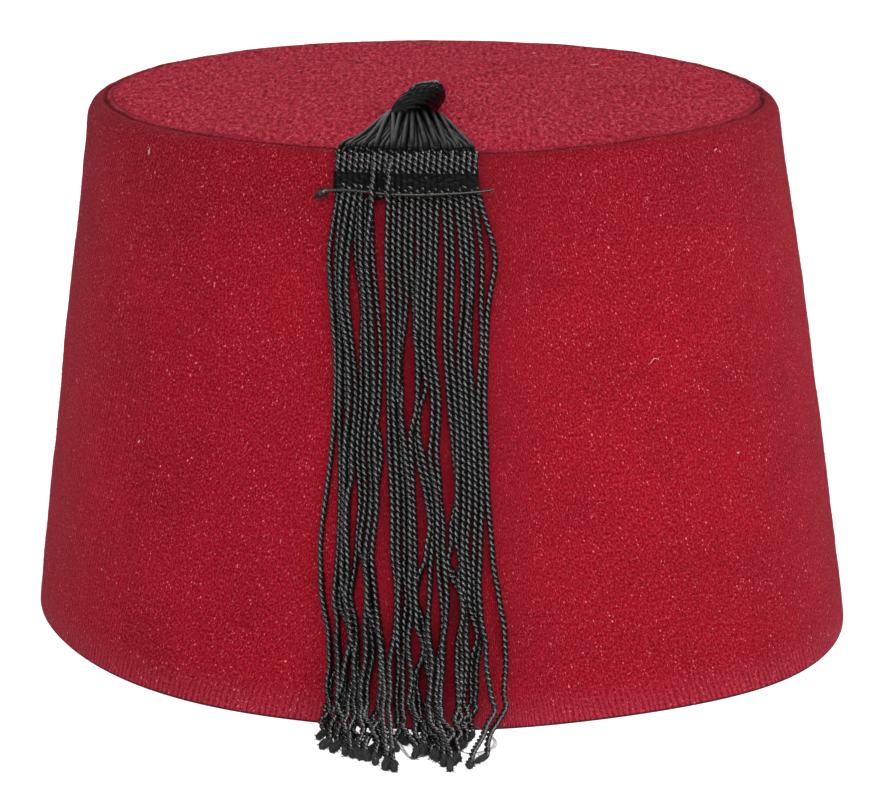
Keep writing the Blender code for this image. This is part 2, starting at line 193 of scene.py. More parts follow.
CORDS = (
    Cord("l1", (-15.2, -16.9, -16.3, -15.6, -15.6, -16.3, -17.5, -18.7, -18.3, -16.7, -16.3),
         (-17.0, 0.6), (-18.7, 6.4)),
    Cord("l2", (-14.0, -15.4, -15.4, -14.4, -14.6, -14.6, -14.6, -15.0, -15.6, -14.0, -15.0),
         (-16.1, 4.5), (-17.7, 12.2)),
    Cord("l3", (-12.8, -14.2, -14.4, -13.0, -12.6, -13.4, -13.6, -13.8, -13.8, -12.8, -13.6),
         (-14.4, 6.4), (-15.6, 14.1)),
    Cord("l4", (-11.5, -13.0, -13.0, -12.1, -11.3, -12.1, -11.7, -12.6, -12.8, -11.5, -12.1),
         (-12.7, 7.7), (-13.3, 16.6)),
    Cord("l5", (-10.9, -11.5, -10.1, -10.3, -10.3, -11.1, -10.5, -11.3, -12.4, -10.5, -10.7),
         (-11.2, 8.9), (-11.7, 18.4)),
    Cord("l6", (-10.3, -10.3, -9.5, -9.1, -8.9, -9.9, -9.3, -10.7, -9.7, -9.3, -9.3),
         (-9.8, 9.6), (-10.2, 19.1)),
    Cord("l7", (-7.8, -9.1, -8.4, -7.8, -7.6, -8.6, -8.0, -9.1, -8.4, -6.2, -6.4),
         (-6.7, 10.2), (-7.1, 22.1)),
    Cord("l8", (-8.4, -8.0, -7.2, -6.4, -6.6, -7.4, -6.8, -7.8, -7.4, -5.1, -4.9),
         (-4.9, 11.4), (-4.9, 25.2)),
    Cord("b1", (-9.3, -9.5, -8.9, -8.4, -8.2, -6.2, -7.4, -8.4, -9.1, -7.8, -7.8),
         (-8.4, 9.5), (-8.8, 19.7)),
    Cord("b2", (-13.4, -13.6, -13.6, -13.6, -13.4, -12.8, -12.6, -13.2, -14.6, -13.4, -13.0),
         (-13.6, 3.8), (-14.5, 10.2)),
    Cord("r1", (-4.7, -5.1, -4.9, -4.7, -4.7, -4.5, -3.9, -3.7, -3.7, -3.7, -3.7),
         (-3.4, 12.7), (-3.3, 26.4)),
    Cord("r2", (-3.7, -3.9, -3.7, -3.5, -3.7, -3.1, -2.7, -2.7, -2.5, -2.7, -2.1),
         (-2.5, 4.3), (-3.2, 14.6)),
    Cord("r3", (-2.5, -2.7, -2.3, -2.5, -2.5, -2.1, -1.4, -1.4, -1.2, -1.4, -1.0),
         (-1.0, 6.3), (0.9, 18.3)),
    Cord("r4", (-1.2, -1.4, -1.0, -2.1, -2.3, -1.2, -0.2, -0.2, 0.0, -0.2, 0.2),
         (0.2, 7.5), (2.3, 16.4)),
    Cord("r5", (0.0, -0.2, 0.4, 0.8, -0.4, 0.0, 0.4, 0.8, 1.2, 1.0, 1.6),
         (2.9, 7.5), (3.5, 17.7)),
    Cord("r6", (1.2, 1.2, 1.0, 1.2, 0.6, 1.0, 3.1, 3.1, 2.5, 3.3, 3.1),
         (4.1, 7.5), (5.4, 20.1)),
    Cord("r7", (2.5, 2.5, 2.1, 2.1, 3.3, 2.3, 4.3, 4.3, 3.5, 4.5, 4.3),
         (5.6, 9.4), (6.8, 23.2)),
    Cord("r8", (3.7, 3.7, 3.3, 3.3, 4.3, 3.5, 5.4, 5.4, 6.2, 5.8, 5.8),
         (6.8, 10.0), (8.0, 25.7)),
    Cord("r9", (5.1, 4.7, 4.5, 4.3, 5.6, 5.1, 6.2, 6.6, 7.2, 6.2, 6.8),
         (7.8, 9.4), (8.8, 22.0)),
    Cord("r10", (6.4, 7.0, 6.8, 6.8, 7.6, 8.6, 7.8, 8.4, 9.1, 9.3, 8.2),
         (8.9, 8.1), (9.6, 20.1)),
    Cord("r11", (7.6, 8.2, 8.0, 8.0, 8.9, 9.3, 9.3, 9.3, 9.7, 10.5, 9.5),
         (9.7, 6.1), (9.9, 15.1)),
    Cord("r12", (8.9, 10.1, 10.3, 9.5, 10.1, 10.5, 10.7, 10.3, 10.9, 11.5, 10.7),
         (10.7, 4.8), (10.5, 12.5)),
    Cord("r13", (10.1, 11.3, 11.5, 10.7, 11.1, 11.7, 11.9, 11.5, 12.1, 12.6, 11.9),
         (11.3, 2.9), (11.1, 8.7)),
    Cord("r14", (11.3, 12.1, 11.9, 11.7, 12.4, 12.8, 13.2, 12.8, 13.2, 14.0, 13.0),
         (12.6, 2.2), (11.7, 7.4)),
    Cord("r15", (12.6, 14.2, 14.0, 14.2, 13.6, 13.8, 14.4, 14.0, 14.2, 15.2, 15.4),
         (14.2, 2.9), (12.0, 24.4)),
    Cord("r16", (13.6, 16.9, 15.6, 15.0, 14.8, 15.2, 15.6, 16.7, 17.7, 19.1, 19.1),
         (16.3, 4.8), (13.9, 21.3)),
)
FRONT_CORDS = ("l7", "r1")          # start over the band and hang in front of the thread
HIDDEN_STARTS = ("b1", "b2", "l5")  # come out from behind their neighbours under the band
BAND_CORDS = 24
BAND_PITCH = 1.213                  # mm
BAND_LEFT = -15.2                   # mm from the skirt's middle
STUBS = (6, 7, 8)                   # cords of the band that end behind the thread


class LooseEnd(NamedTuple):
    """A cord of the back rows that shows only at its end, in mm: sideways at the wall, and its tip."""
    foot: float
    side: float
    out: float


LOOSE_ENDS = [LooseEnd(*row) for row in (
    (-16.6, -17.8, 3.0), (-14.6, -15.2, 7.6), (-11.6, -12.2, 10.4), (-9.4, -9.8, 13.2),
    (-7.2, -8.4, 15.8), (-5.6, -6.4, 18.0), (-2.8, -1.2, 9.5), (1.0, 1.4, 11.5),
    (3.0, 3.8, 12.5), (5.8, 5.8, 15.5), (7.6, 7.6, 17.0), (9.6, 9.2, 12.0),
    (-15.8, -16.6, 5.4), (-13.2, -13.8, 9.6), (-10.4, -11.2, 15.4), (-8.2, -7.4, 17.2),
    (4.4, 4.8, 18.6), (6.8, 9.0, 16.0), (2.0, 2.8, 15.6),
)]


class Window(NamedTuple):
    """A place where the cords part and the felt shows, in mm: sideways, up, and its size."""
    side: float
    low: float
    high: float
    width: float


WINDOWS = [Window(*row) for row in (
    (7.5, 43.5, 57.5, 2.2), (2.5, 38.5, 47.0, 1.2), (8.8, 32.0, 38.0, 1.2), (-0.3, 62.5, 83.5, 1.8),
    (2.8, 57.5, 69.0, 1.5), (-12.0, 34.0, 51.0, 0.7), (-13.7, 14.4, 23.3, 1.4), (-10.2, 20.0, 36.0, 1.1),
    (-4.9, 16.5, 37.0, 2.4), (-7.0, 5.0, 14.6, 1.5), (-15.1, 4.5, 11.5, 1.1), (2.4, 24.0, 33.5, 1.4),
    (1.1, 14.0, 20.6, 1.7), (5.0, 16.0, 31.0, 1.7), (2.7, 7.6, 13.4, 1.4), (7.7, 2.0, 15.6, 2.1),
    (9.4, 21.0, 29.5, 1.1), (12.3, 17.0, 23.0, 1.1), (14.5, -2.0, 10.0, 2.5),
)]


# Shape of the crown, in the hat's frame

def ring_radius(ring, angle):
    """Outer radius of the rim or of the top at an angle from +X."""
    radius = {"rim": RIM_DIAMETER, "top": TOP_DIAMETER}[ring] / 2
    swell = 0.0
    for row in OUT_OF_ROUND:
        if row.ring == ring:
            swell += row.swell * math.cos(row.count * (angle - math.radians(row.first)))
    if ring == "rim":
        for bulge in BULGES:
            away = math.remainder(angle - math.radians(bulge.angle), 2 * math.pi)
            swell += bulge.out * math.exp(-(away / math.radians(bulge.width)) ** 2)
    return radius * (1 + swell)


def wall_share(z):
    """0 at the rim, 1 where the shoulder starts."""
    return max(0.0, min(z / (HEIGHT - SHOULDER_RADIUS), 1.0))


def crown_axis(z):
    """Middle of the crown at a height: the top sits a little off the rim's middle."""
    share = wall_share(z)
    return Vector((TOP_SHIFT_X * share, TOP_SHIFT_Y * share, z))


def wall_radius(angle, z):
    """Outer radius of the wall."""
    share = wall_share(z)
    straight = ring_radius("rim", angle) * (1 - share) + ring_radius("top", angle) * share
    return straight + WALL_SWELL * math.sin(math.pi * share)


def shoulder_bend(radius, bend):
    """Inward step and height step of a quarter-round corner at a bend angle."""
    return radius * (1 - math.cos(bend)), radius * math.sin(bend)


def front_of(x, z, radius_at):
    """The point at x on the front of a ring, and its angle from +X."""
    middle = crown_axis(z)
    angle = -math.pi / 2
    for _ in range(6):
        reach = (x - middle.x) / radius_at(angle)
        angle = -math.acos(max(-1.0, min(1.0, reach)))
    return Vector((x, middle.y + radius_at(angle) * math.sin(angle), z)), angle


def on_wall(x, z, lift):
    """A point lifted off the front of the wall."""
    point, angle = front_of(x, z, lambda a: wall_radius(a, z))
    return point + Vector((math.cos(angle), math.sin(angle), 0)) * lift


def on_shoulder(x, share, lift):
    """A point lifted off the front shoulder: share 0 at its top, 1 at the wall."""
    bend = math.pi / 2 * (1 - share)
    inward, rise = shoulder_bend(SHOULDER_RADIUS, bend)
    z = HEIGHT - SHOULDER_RADIUS + rise
    point, angle = front_of(x, z, lambda a: ring_radius("top", a) - inward)
    level = Vector((math.cos(angle), math.sin(angle), 0)) * math.cos(bend)
    return point + (level + Vector((0, 0, math.sin(bend)))) * lift


def on_top(x, along, lift):
    """A point over the top: along 0 at the fan's start, 1 where the shoulder starts."""
    edge = on_shoulder(x, 0.0, 0.0)
    start = crown_axis(HEIGHT).y - FAN_START
    y = start + (edge.y - start) * along
    return Vector((x, y, HEIGHT + TOP_RISE * (1 - max(along, 0.0)) + lift))


def hat_shift():
    """The step from the hat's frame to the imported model's."""
    reach = []
    for i in range(CAD_SEGMENTS):
        angle = 2 * math.pi * i / CAD_SEGMENTS
        radius = wall_radius(angle, RIM_ROUNDING)
        reach.append((radius * math.cos(angle), radius * math.sin(angle)))
    reach = np.array(reach) + np.array(crown_axis(RIM_ROUNDING))[:2]
    low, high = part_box("crown")
    middle = (low + high) / 2
    own = (reach.min(0) + reach.max(0)) / 2
    return np.array((middle.x - own[0], middle.y - own[1], 0.0))


SHIFT = hat_shift()


# Meshes

def wobble(a, b, c):
    """Smooth noise between -1 and 1 at a place."""
    return noise.noise(Vector((a, b, c)))


def full_turn(count):
    """Evenly spaced angles all round."""
    return np.linspace(0, 2 * math.pi, count, endpoint=False)


def place(name, data):
    """Puts a mesh, light or camera into the scene."""
    made = bpy.data.objects.new(name, data)
    bpy.context.scene.collection.objects.link(made)
    return made


class Skin:
    """Points, faces and grain coordinates of one piece while it is put together."""

    def __init__(self):
        self.points = []
        self.faces = []
        self.grain = []
        self.count = 0

    def tube(self, rings, along, girth):
        """A closed tube of rings, with its grain in mm: places along it, and the whole way round."""
        across = np.linspace(0, girth, rings.shape[1] + 1)
        self.wrap(rings, np.stack(np.meshgrid(across, along), axis=2))

    def wrap(self, rings, grain):
        """Rings joined up, closed at each end, with a grain place for every point and the seam again."""
        lines, columns = rings.shape[:2]
        index = np.arange(lines * columns).reshape(lines, columns) + self.count
        self.points.append(rings.reshape(-1, 3))
        self.count += lines * columns
        i = np.repeat(np.arange(lines - 1), columns)
        j = np.tile(np.arange(columns), lines - 1)
        k = (j + 1) % columns
        quads = np.stack([index[i, j], index[i, k], index[i + 1, k], index[i + 1, j]], axis=1)
        places = np.stack([grain[i, j], grain[i, j + 1], grain[i + 1, j + 1], grain[i + 1, j]], axis=1)
        self.faces.extend(quads.tolist())
        self.faces.append(index[0][::-1].tolist())
        self.faces.append(index[-1].tolist())
        self.grain.append(places.reshape(-1, 2))
        self.grain.append(grain[0, :columns][::-1])
        self.grain.append(grain[-1, :columns])

    def piece(self, name, finish, slot, *nodes):
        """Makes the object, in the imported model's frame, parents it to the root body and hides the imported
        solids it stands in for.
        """
        points = np.concatenate(self.points) + SHIFT
        mesh = bpy.data.meshes.new(name)
        mesh.from_pydata(points.tolist(), [], self.faces)
        mesh.shade_smooth()
        layer = mesh.uv_layers.new(name="grain")
        layer.data.foreach_set("uv", np.concatenate(self.grain).astype(np.float32).ravel())
        mesh.materials.append(finish)
        mesh.validate()
        made = place(name, mesh)
        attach(made, "root")
        if nodes:
            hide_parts(*nodes)
        return made


def smooth_route(stations, step):
    """Points every step along a smooth curve through the stations."""
    stations = np.array([list(p) for p in stations], float)
    ends = np.vstack([2 * stations[0] - stations[1], stations, 2 * stations[-1] - stations[-2]])
    dense = []
    for a, b, c, d in zip(ends, ends[1:], ends[2:], ends[3:]):
        ta = max(np.linalg.norm(b - a), 1e-9) ** 0.5
        tb = max(np.linalg.norm(c - b), 1e-9) ** 0.5
        tc = max(np.linalg.norm(d - c), 1e-9) ** 0.5
        leave = (b - a) / ta - (c - a) / (ta + tb) + (c - b) / tb
        arrive = (c - b) / tb - (d - b) / (tb + tc) + (d - c) / tc
        t = np.linspace(0, 1, 16, endpoint=False)[:, None]
        leave, arrive = leave * tb, arrive * tb
        dense.append((2 * t**3 - 3 * t**2 + 1) * b + (t**3 - 2 * t**2 + t) * leave
                     + (3 * t**2 - 2 * t**3) * c + (t**3 - t**2) * arrive)
    dense = np.vstack(dense + [stations[-1:]])
    reach = np.concatenate([[0], np.cumsum(np.linalg.norm(np.diff(dense, axis=0), axis=1))])
    count = max(int(reach[-1] / step), 2)
    where = np.linspace(0, reach[-1], count + 1)
    return np.stack([np.interp(where, reach, dense[:, k]) for k in range(3)], axis=1), where


def route_frames(points, first_out):
    """Two directions square to a route at each of its points, carried along without twist."""
    way = np.gradient(points, axis=0)
    way /= np.linalg.norm(way, axis=1)[:, None]
    outs = np.zeros_like(points)
    out = np.array(first_out, float)
    for i, ahead in enumerate(way):
        out = out - ahead * (out @ ahead)
        out /= np.linalg.norm(out)
        outs[i] = out
    return outs, np.cross(way, outs)


def rings_along(points, turns, reaches, first_out=(0, -1, 0)):
    """Rings round a route: angles and distances for each column, or for each point and column."""
    outs, sides = route_frames(points, first_out)
    return (points[:, None] + outs[:, None] * (np.cos(turns) * reaches)[..., None]
            + sides[:, None] * (np.sin(turns) * reaches)[..., None])


# Materials

class Look:
    """A Principled material with the nodes that feed it."""

    def __init__(self, name, **values):
        self.material = bpy.data.materials.new(name)
        self.material.use_nodes = True
        self.tree = self.material.node_tree
        self.shader = self.tree.nodes["Principled BSDF"]
        for key, value in values.items():
            self.shader.inputs[key.replace("_", " ")].default_value = value

    def node(self, kind, output=0, settings=None, sockets=None):
        """Adds a node, sets it, feeds its sockets and gives one of its outputs."""
        made = self.tree.nodes.new(kind)
        for key, value in (settings or {}).items():
            setattr(made, key, value)
        for key, value in (sockets or {}).items():
            self.feed(made.inputs[key], value)
        return made.outputs[output]

    def feed(self, socket, source):
        """Links a node's output, or sets a number or colour."""
        if isinstance(source, bpy.types.NodeSocket):
            self.tree.links.new(source, socket)
        else:
            socket.default_value = source

    def grain(self, across=1.0, along=1.0):
        """The piece's own coordinates in mm, stretched."""
        coords = self.node("ShaderNodeUVMap", 0, {"uv_map": "grain"})
        return self.node("ShaderNodeMapping", 0, None, {"Vector": coords, "Scale": (across, along, 1.0)})

    def space(self):
        """Object coordinates."""
        return self.node("ShaderNodeTexCoord", "Object")

    def noise(self, vector, scale, detail=2.0, rough=0.5):
        sockets = {"Vector": vector, "Scale": scale, "Detail": detail, "Roughness": rough}
        return self.node("ShaderNodeTexNoise", 0, None, sockets)

    def cells(self, vector):
        """Distance to the nearest of scattered points, and that point's own random number."""
        away = self.node("ShaderNodeTexVoronoi", "Distance", None, {"Vector": vector, "Scale": 1.0})
        return away, self.axis(away.node.outputs["Color"], "X")

    def span(self, value, low, high, to_low=0.0, to_high=1.0):
        """Maps low..high to to_low..to_high, held at both ends."""
        sockets = {"Value": value, "From Min": low, "From Max": high, "To Min": to_low, "To Max": to_high}
        return self.node("ShaderNodeMapRange", 0, None, sockets)

    def maths(self, operation, a, b=0.0):
        return self.node("ShaderNodeMath", 0, {"operation": operation}, {0: a, 1: b})

    def times(self, a, b):
        return self.maths("MULTIPLY", a, b)

    def mix(self, share, a, b):
        return self.node("ShaderNodeMix", 2, {"data_type": "RGBA"}, {0: share, 6: a, 7: b})

    def axis(self, vector, name):
        return self.node("ShaderNodeSeparateXYZ", name, None, {0: vector})

    def bump(self, height, distance, strength, under=None):
        sockets = {"Height": height, "Distance": distance, "Strength": strength}
        if under is not None:
            sockets["Normal"] = under
        return self.node("ShaderNodeBump", 0, None, sockets)


DEEP_RED = (0.222, 0.0010, 0.0085, 1)
WARM_RED = (0.288, 0.0016, 0.0105, 1)
DARK_RED = (0.090, 0.0012, 0.0045, 1)
NAP_PINK = (0.360, 0.030, 0.060, 1)
# the top's paler pink: some dust, and painted sheen
DISC_DUST_AND_SHEEN = (0.480, 0.012, 0.044, 1)
FLECK_PINK = (0.850, 0.180, 0.200, 1)
LIGHT_NAP = (0.620, 0.070, 0.100, 1)
# painted shade in the crease round the top
CREASE_SHADE_RED = (0.045, 0.002, 0.004, 1)
STAIN_BROWN = (0.110, 0.012, 0.010, 1)
# painted contact shade along the rim's bottom edge, where it meets the floor
RIM_CONTACT_SHADE = (0.020, 0.004, 0.004, 1)
SILK_BLACK = (0.002, 0.002, 0.002, 1)
STAIN = (20.5, 28.0, 9.0, 15.0)     # mm: round the wall, up, and half its size each way
SILK_IOR = 1.54


class Fleck(NamedTuple):
    """One size of pale fleck in the felt."""
    across: float        # flecks per mm round the wall
    along: float         # and up it
    size: float          # share of the space each has
    keep: float          # share of them that is left out


FLECKS = (
    Fleck(0.42, 0.32, 0.11, 0.30),
    Fleck(0.60, 0.45, 0.13, 0.15),
    Fleck(1.00, 0.75, 0.17, 0.30),
    Fleck(1.70, 1.30, 0.22, 0.45),
)


def felt_look():
    """Napped wool felt: mottled red, leaning ribs, pale flecks, pinker where the nap is rubbed, with painted
    sheen on the top and painted shade under the shoulder, in the crease and along the rim's bottom edge.
    """
    look = Look("felt", Roughness=0.95, Specular_IOR_Level=0.04,
                Sheen_Weight=0.19, Sheen_Roughness=0.09, Sheen_Tint=(1.0, 0.46, 0.60, 1))
    space = look.space()
    height = look.axis(space, "Z")
    round_wall = look.axis(look.grain(), "X")
    marks = look.node("ShaderNodeAttribute", "Vector", {"attribute_name": "marks"})
    on_disc = look.axis(marks, "Y")
    off_disc = look.span(on_disc, 0.0, 1.0, 1.0, 0.0)

    # mottle, curls and the ribs of the nap
    mottle = look.noise(space, 60, 3.0, 0.6)
    colour = look.mix(look.span(mottle, 0.30, 0.70), DEEP_RED, WARM_RED)
    curl = look.noise(look.grain(0.85, 0.50), 1.0, 3.0, 0.65)
    colour = look.mix(look.span(curl, 0.50, 0.28, 0.0, 0.45), colour, DARK_RED)
    wander = look.noise(look.grain(0.25, 0.10), 1.0)
    turn = look.times(round_wall, 2 * math.pi / NAP_RIB)
    wave = look.maths("SINE", look.maths("ADD", turn, look.times(wander, 9.0)))
    near_rim = look.span(height, 0.008, 0.001)
    deep = look.times(look.span(near_rim, 0.0, 1.0, 0.16, 0.60), off_disc)
    colour = look.mix(look.times(look.span(wave, 0.1, -0.9), deep), colour, DARK_RED)
    rubbed = look.times(near_rim, look.span(wave, -0.8, 0.9, 0.15, 0.65))
    colour = look.mix(rubbed, colour, NAP_PINK)

    # the top pinker with some dust and painted sheen, painted shade at the wall's top under the shoulder, and
    # the fine nap
    # the top is mixed towards a paler pink: painted sheen of the light its nap catches from above, with some
    # dust
    colour = look.mix(look.span(on_disc, 0.0, 1.0, 0.0, 0.62), colour, DISC_DUST_AND_SHEEN)
    # painted shade: the wall's top under the shoulder is mixed towards dark red by height, but not on the top
    shade = look.times(look.span(height, 0.084, 0.112, 0.0, 0.32), off_disc)
    colour = look.mix(shade, colour, DARK_RED)
    fine = look.noise(look.grain(2.6, 1.7), 1.0, 2.0, 0.75)
    colour = look.mix(look.span(fine, 0.46, 0.25, 0.0, 0.60), colour, DARK_RED)
    colour = look.mix(look.span(fine, 0.47, 0.76, 0.0, 0.52), colour, LIGHT_NAP)
    matted = look.noise(look.grain(1.1, 0.7), 1.0, 3.0, 0.8)
    for low, high, most, tint in ((0.54, 0.66, 0.50, FLECK_PINK), (0.50, 0.36, 0.90, DARK_RED)):
        patch = look.times(look.span(matted, low, high), look.span(on_disc, 0.0, 1.0, 0.0, most))
        colour = look.mix(patch, colour, tint)

    # pale flecks
    drift = look.span(look.noise(look.grain(0.16, 0.12), 1.0, 2.0, 0.6), 0.40, 0.62, 0.35, 1.0)
    for fleck in FLECKS:
        away, own = look.cells(look.grain(fleck.across, fleck.along))
        some = look.times(look.span(own, fleck.keep, fleck.keep + 0.45), drift)
        spot = look.span(away, fleck.size, fleck.size * 0.5)
        colour = look.mix(look.times(some, spot), colour, FLECK_PINK)

    # the stain, the painted contact shade along the rim's bottom edge and the painted shade in the crease
    middle, up, half_round, half_up = STAIN
    aside = look.span(round_wall, middle - 2 * half_round, middle + 2 * half_round, -2.0, 2.0)
    above = look.span(height, (up - 2 * half_up) * MM, (up + 2 * half_up) * MM, -2.0, 2.0)
    away = look.maths("ADD", look.times(aside, aside), look.times(above, above))
    away = look.maths("ADD", away, look.times(look.noise(space, 110, 3.0), 1.6))
    colour = look.mix(look.span(away, 2.0, 0.9, 0.0, 0.42), colour, STAIN_BROWN)
    # painted shade: the lowest fraction of a millimetre of the rim is darkened where it meets the floor
    colour = look.mix(look.span(height, 0.0007, 0.0003, 0.0, 0.9), colour, RIM_CONTACT_SHADE)
    # painted shade in the crease, from the first value of the marks
    colour = look.mix(look.span(look.axis(marks, "X"), 0.0, 1.0, 0.0, 0.62), colour, CREASE_SHADE_RED)
    look.feed(look.shader.inputs["Base Color"], colour)

    bumps = look.bump(wave, 0.00010, 0.4)
    bumps = look.bump(curl, 0.00040, 0.5, bumps)
    bumps = look.bump(fine, 0.00036, 1.0, bumps)
    look.feed(look.shader.inputs["Normal"], bumps)
    return look.material


def silk_look(name, tint, rough, gloss, filament, depth):
    """Silk: near black with fine filaments along the grain."""
    look = Look(name, Roughness=rough, IOR=SILK_IOR, Specular_IOR_Level=gloss)
    lines = look.noise(look.grain(filament, filament * 0.16), 1.0, 2.0, 0.6)
    blotch = look.noise(look.space(), 160)
    dark, pale = tuple(tint) + (1,), tuple(2.0 * c for c in tint) + (1,)
    shade = look.mix(look.span(blotch, 0.3, 0.7, 0.0, 0.6), dark, pale)
    shade = look.mix(look.span(lines, 0.60, 0.35, 0.0, 0.7), shade, SILK_BLACK)
    look.feed(look.shader.inputs["Base Color"], shade)
    look.feed(look.shader.inputs["Normal"], look.bump(lines, depth, 0.8))
    return look.material


def plain_look(name, colour):
    """A plain rough colour."""
    return Look(name, Roughness=0.8, Base_Color=colour, Specular_IOR_Level=0.1).material


# Pieces

def crown_profile():
    """Radius and height rules of the crown's rings, from the hollow's ceiling to the top's middle."""
    rows = []
    ceiling = HEIGHT - FELT
    corner = SHOULDER_RADIUS - FELT
    for share in np.linspace(0.02, 1.0, 8):
        rows.append(("in_disc", share, ceiling))
    for bend in np.linspace(90, 0, 5)[1:]:
        inward, rise = shoulder_bend(corner, math.radians(bend))
        rows.append(("in_wall", inward, ceiling - corner + rise))
    for z in np.linspace(ceiling - corner, RIM_ROUNDING, 14)[1:]:
        rows.append(("in_wall", 0.0, z))
    for bend in (30, 60, 90):
        inward, rise = shoulder_bend(RIM_ROUNDING, math.radians(bend))
        rows.append(("in_wall", -inward, RIM_ROUNDING - rise))
    for bend in (90, 60, 30, 0):
        inward, rise = shoulder_bend(RIM_ROUNDING, math.radians(bend))
        rows.append(("wall", inward, RIM_ROUNDING - rise))
    straight = HEIGHT - SHOULDER_RADIUS
    for z in np.linspace(RIM_ROUNDING, straight, WALL_ROWS)[1:]:
        rows.append(("wall", 0.0, z))
    for bend in np.linspace(0, 72, 8)[1:]:
        inward, rise = shoulder_bend(SHOULDER_RADIUS, math.radians(bend))
        rows.append(("top", inward, straight + rise))
    for inward, drop in CREASE:
        rows.append(("top", inward * MM, HEIGHT - drop * MM))
    for share in np.linspace(1.0, 0.004, 34):
        rows.append(("disc", share, HEIGHT + TOP_RISE * (1 - share * share)))
    return rows


def dimple(distance):
    """Depth of the dimple in the middle of the top at a distance from it."""
    share = min(distance / (DIMPLE_DIAMETER / 2), 1.0)
    return DIMPLE_DEPTH * (1 + math.cos(math.pi * share)) / 2


def felt_swell(point, inner):
    """How far the felt stands out of its plain form: long waves, lumps and fine nap."""
    slow = noise.noise(point * 35.0) * 0.00028
    lumps = noise.noise(point * 140.0) * 0.00016
    nap = noise.noise(point * 520.0) * 0.00009
    return (slow * 0.3 if inner else slow) + lumps + nap


def top_sag(angle):
    """How far the top's edge lies above its plane at an angle."""
    sag = 0.0
    for middle, width, rise in SAGS:
        away = math.remainder(angle - math.radians(middle), 2 * math.pi)
        sag += rise * MM * math.exp(-(away / math.radians(width)) ** 2)
    return sag


def crown_angle(column):
    """Angle from +X of one of the crown's columns: the first one is at the back."""
    return 2 * math.pi * column / CROWN_SEGMENTS + math.pi / 2


def wall_grain(column, along):
    """Grain place on the wall: mm round from the tassel's side, leaning towards it higher up."""
    turn = 360 * column / CROWN_SEGMENTS - 180
    round_wall = math.radians(turn) * (RIM_DIAMETER + TOP_DIAMETER) / 4 / MM
    return round_wall + GRAIN_LEAN * along * math.tanh(turn / 8), along


def make_crown(finish):
    """The felt body with its real unevenness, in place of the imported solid."""
    rows, grain, marks = [], [], []
    reach = 0.0
    before = None
    for kind, step, z in crown_profile():
        middle = crown_axis(z)
        row = []
        for i in range(CROWN_SEGMENTS):
            angle = crown_angle(i)
            if kind == "in_disc":
                radius = (ring_radius("top", angle) - SHOULDER_RADIUS) * step
            elif kind == "in_wall":
                radius = wall_radius(angle, z) - FELT - step
            elif kind == "wall":
                radius = wall_radius(angle, z) - step
            elif kind == "top":
                radius = ring_radius("top", angle) - step
            else:
                radius = (ring_radius("top", angle) - CREASE_END) * step
            way = Vector((math.cos(angle), math.sin(angle), 0))
            point = middle + way * radius
            if kind in ("top", "disc"):
                edge = step ** 4 if kind == "disc" else 1.0
                point.z += top_sag(angle) * edge
                if kind == "top" and step > 0.0028:
                    point -= way * noise.noise(way * 9.0) * 0.0006
            swell = felt_swell(point, kind.startswith("in_"))
            if kind == "in_disc":
                point.z -= swell
            elif kind == "disc":
                point.z += swell * 1.3 - dimple(radius)
                for dent in DENTS:
                    away = math.hypot(point.x - dent.x * MM, point.y - dent.y * MM) / (dent.radius * MM)
                    point.z -= dent.depth * MM * math.exp(-away * away)
            elif kind == "top":
                point.z += swell * 0.7
                point += way * swell * 0.7
            elif z > 2 * RIM_ROUNDING:
                point += way * (swell if kind == "wall" else -swell)
            row.append(point)
        rows.append([tuple(p) for p in row])
        here = np.array(((row[0] - middle).length, z))
        if before is not None:
            reach += np.linalg.norm(here - before)
        before = here
        if "disc" in kind:
            places = [(p.x / MM, p.y / MM * TOP_NAP) for p in row + row[:1]]
        else:
            places = [wall_grain(i, reach / MM) for i in range(CROWN_SEGMENTS + 1)]
        grain.append(places)
        # painted shade in the crease: strongest at the front, fading towards the back, uneven round the ring
        in_crease = float(kind == "top" and CREASE_SHADE_BAND[0] < step < CREASE_SHADE_BAND[1])
        on_disc = float(kind == "disc" or step > 0.0042 and kind == "top")
        for i in range(CROWN_SEGMENTS):
            angle = crown_angle(i)
            crease_wobble = wobble(math.cos(angle) * 9, math.sin(angle) * 9, 4.0)
            crease_shade = 0.62 - 0.40 * math.sin(angle) + 0.7 * crease_wobble
            marks.append((in_crease * min(max(crease_shade, 0.1), 1.0), on_disc, 0.0))
    skin = Skin()
    skin.wrap(np.array(rows), np.array(grain))
    crown = skin.piece("felt_crown", finish, "red_felt", "crown")
    layer = crown.data.attributes.new("marks", "FLOAT_VECTOR", "POINT")
    layer.data.foreach_set("vector", np.array(marks, np.float32).ravel())
    return crown


def waves(heights, row, rate):
    """A smooth random wave over the heights, its own for each row number."""
    return np.array([wobble(row, z * rate, 7.0) for z in heights])


def clear_of_windows(heights, side):
    """A cord's sideways places, moved out of the windows between the cords."""
    for window in WINDOWS:
        middle = (window.low + window.high) / 2
        share = 1 - ((heights - middle) / (window.high - middle)) ** 2
        half = (window.width + CORD_DIAMETER / MM) / 2 * np.sqrt(np.clip(share, 0, 1))
        way = math.copysign(1.0, np.interp(middle, heights, side) - window.side)
        room = (side - window.side) * way
        side = side + way * np.maximum(half - room, 0) * (share > 0)
    return side


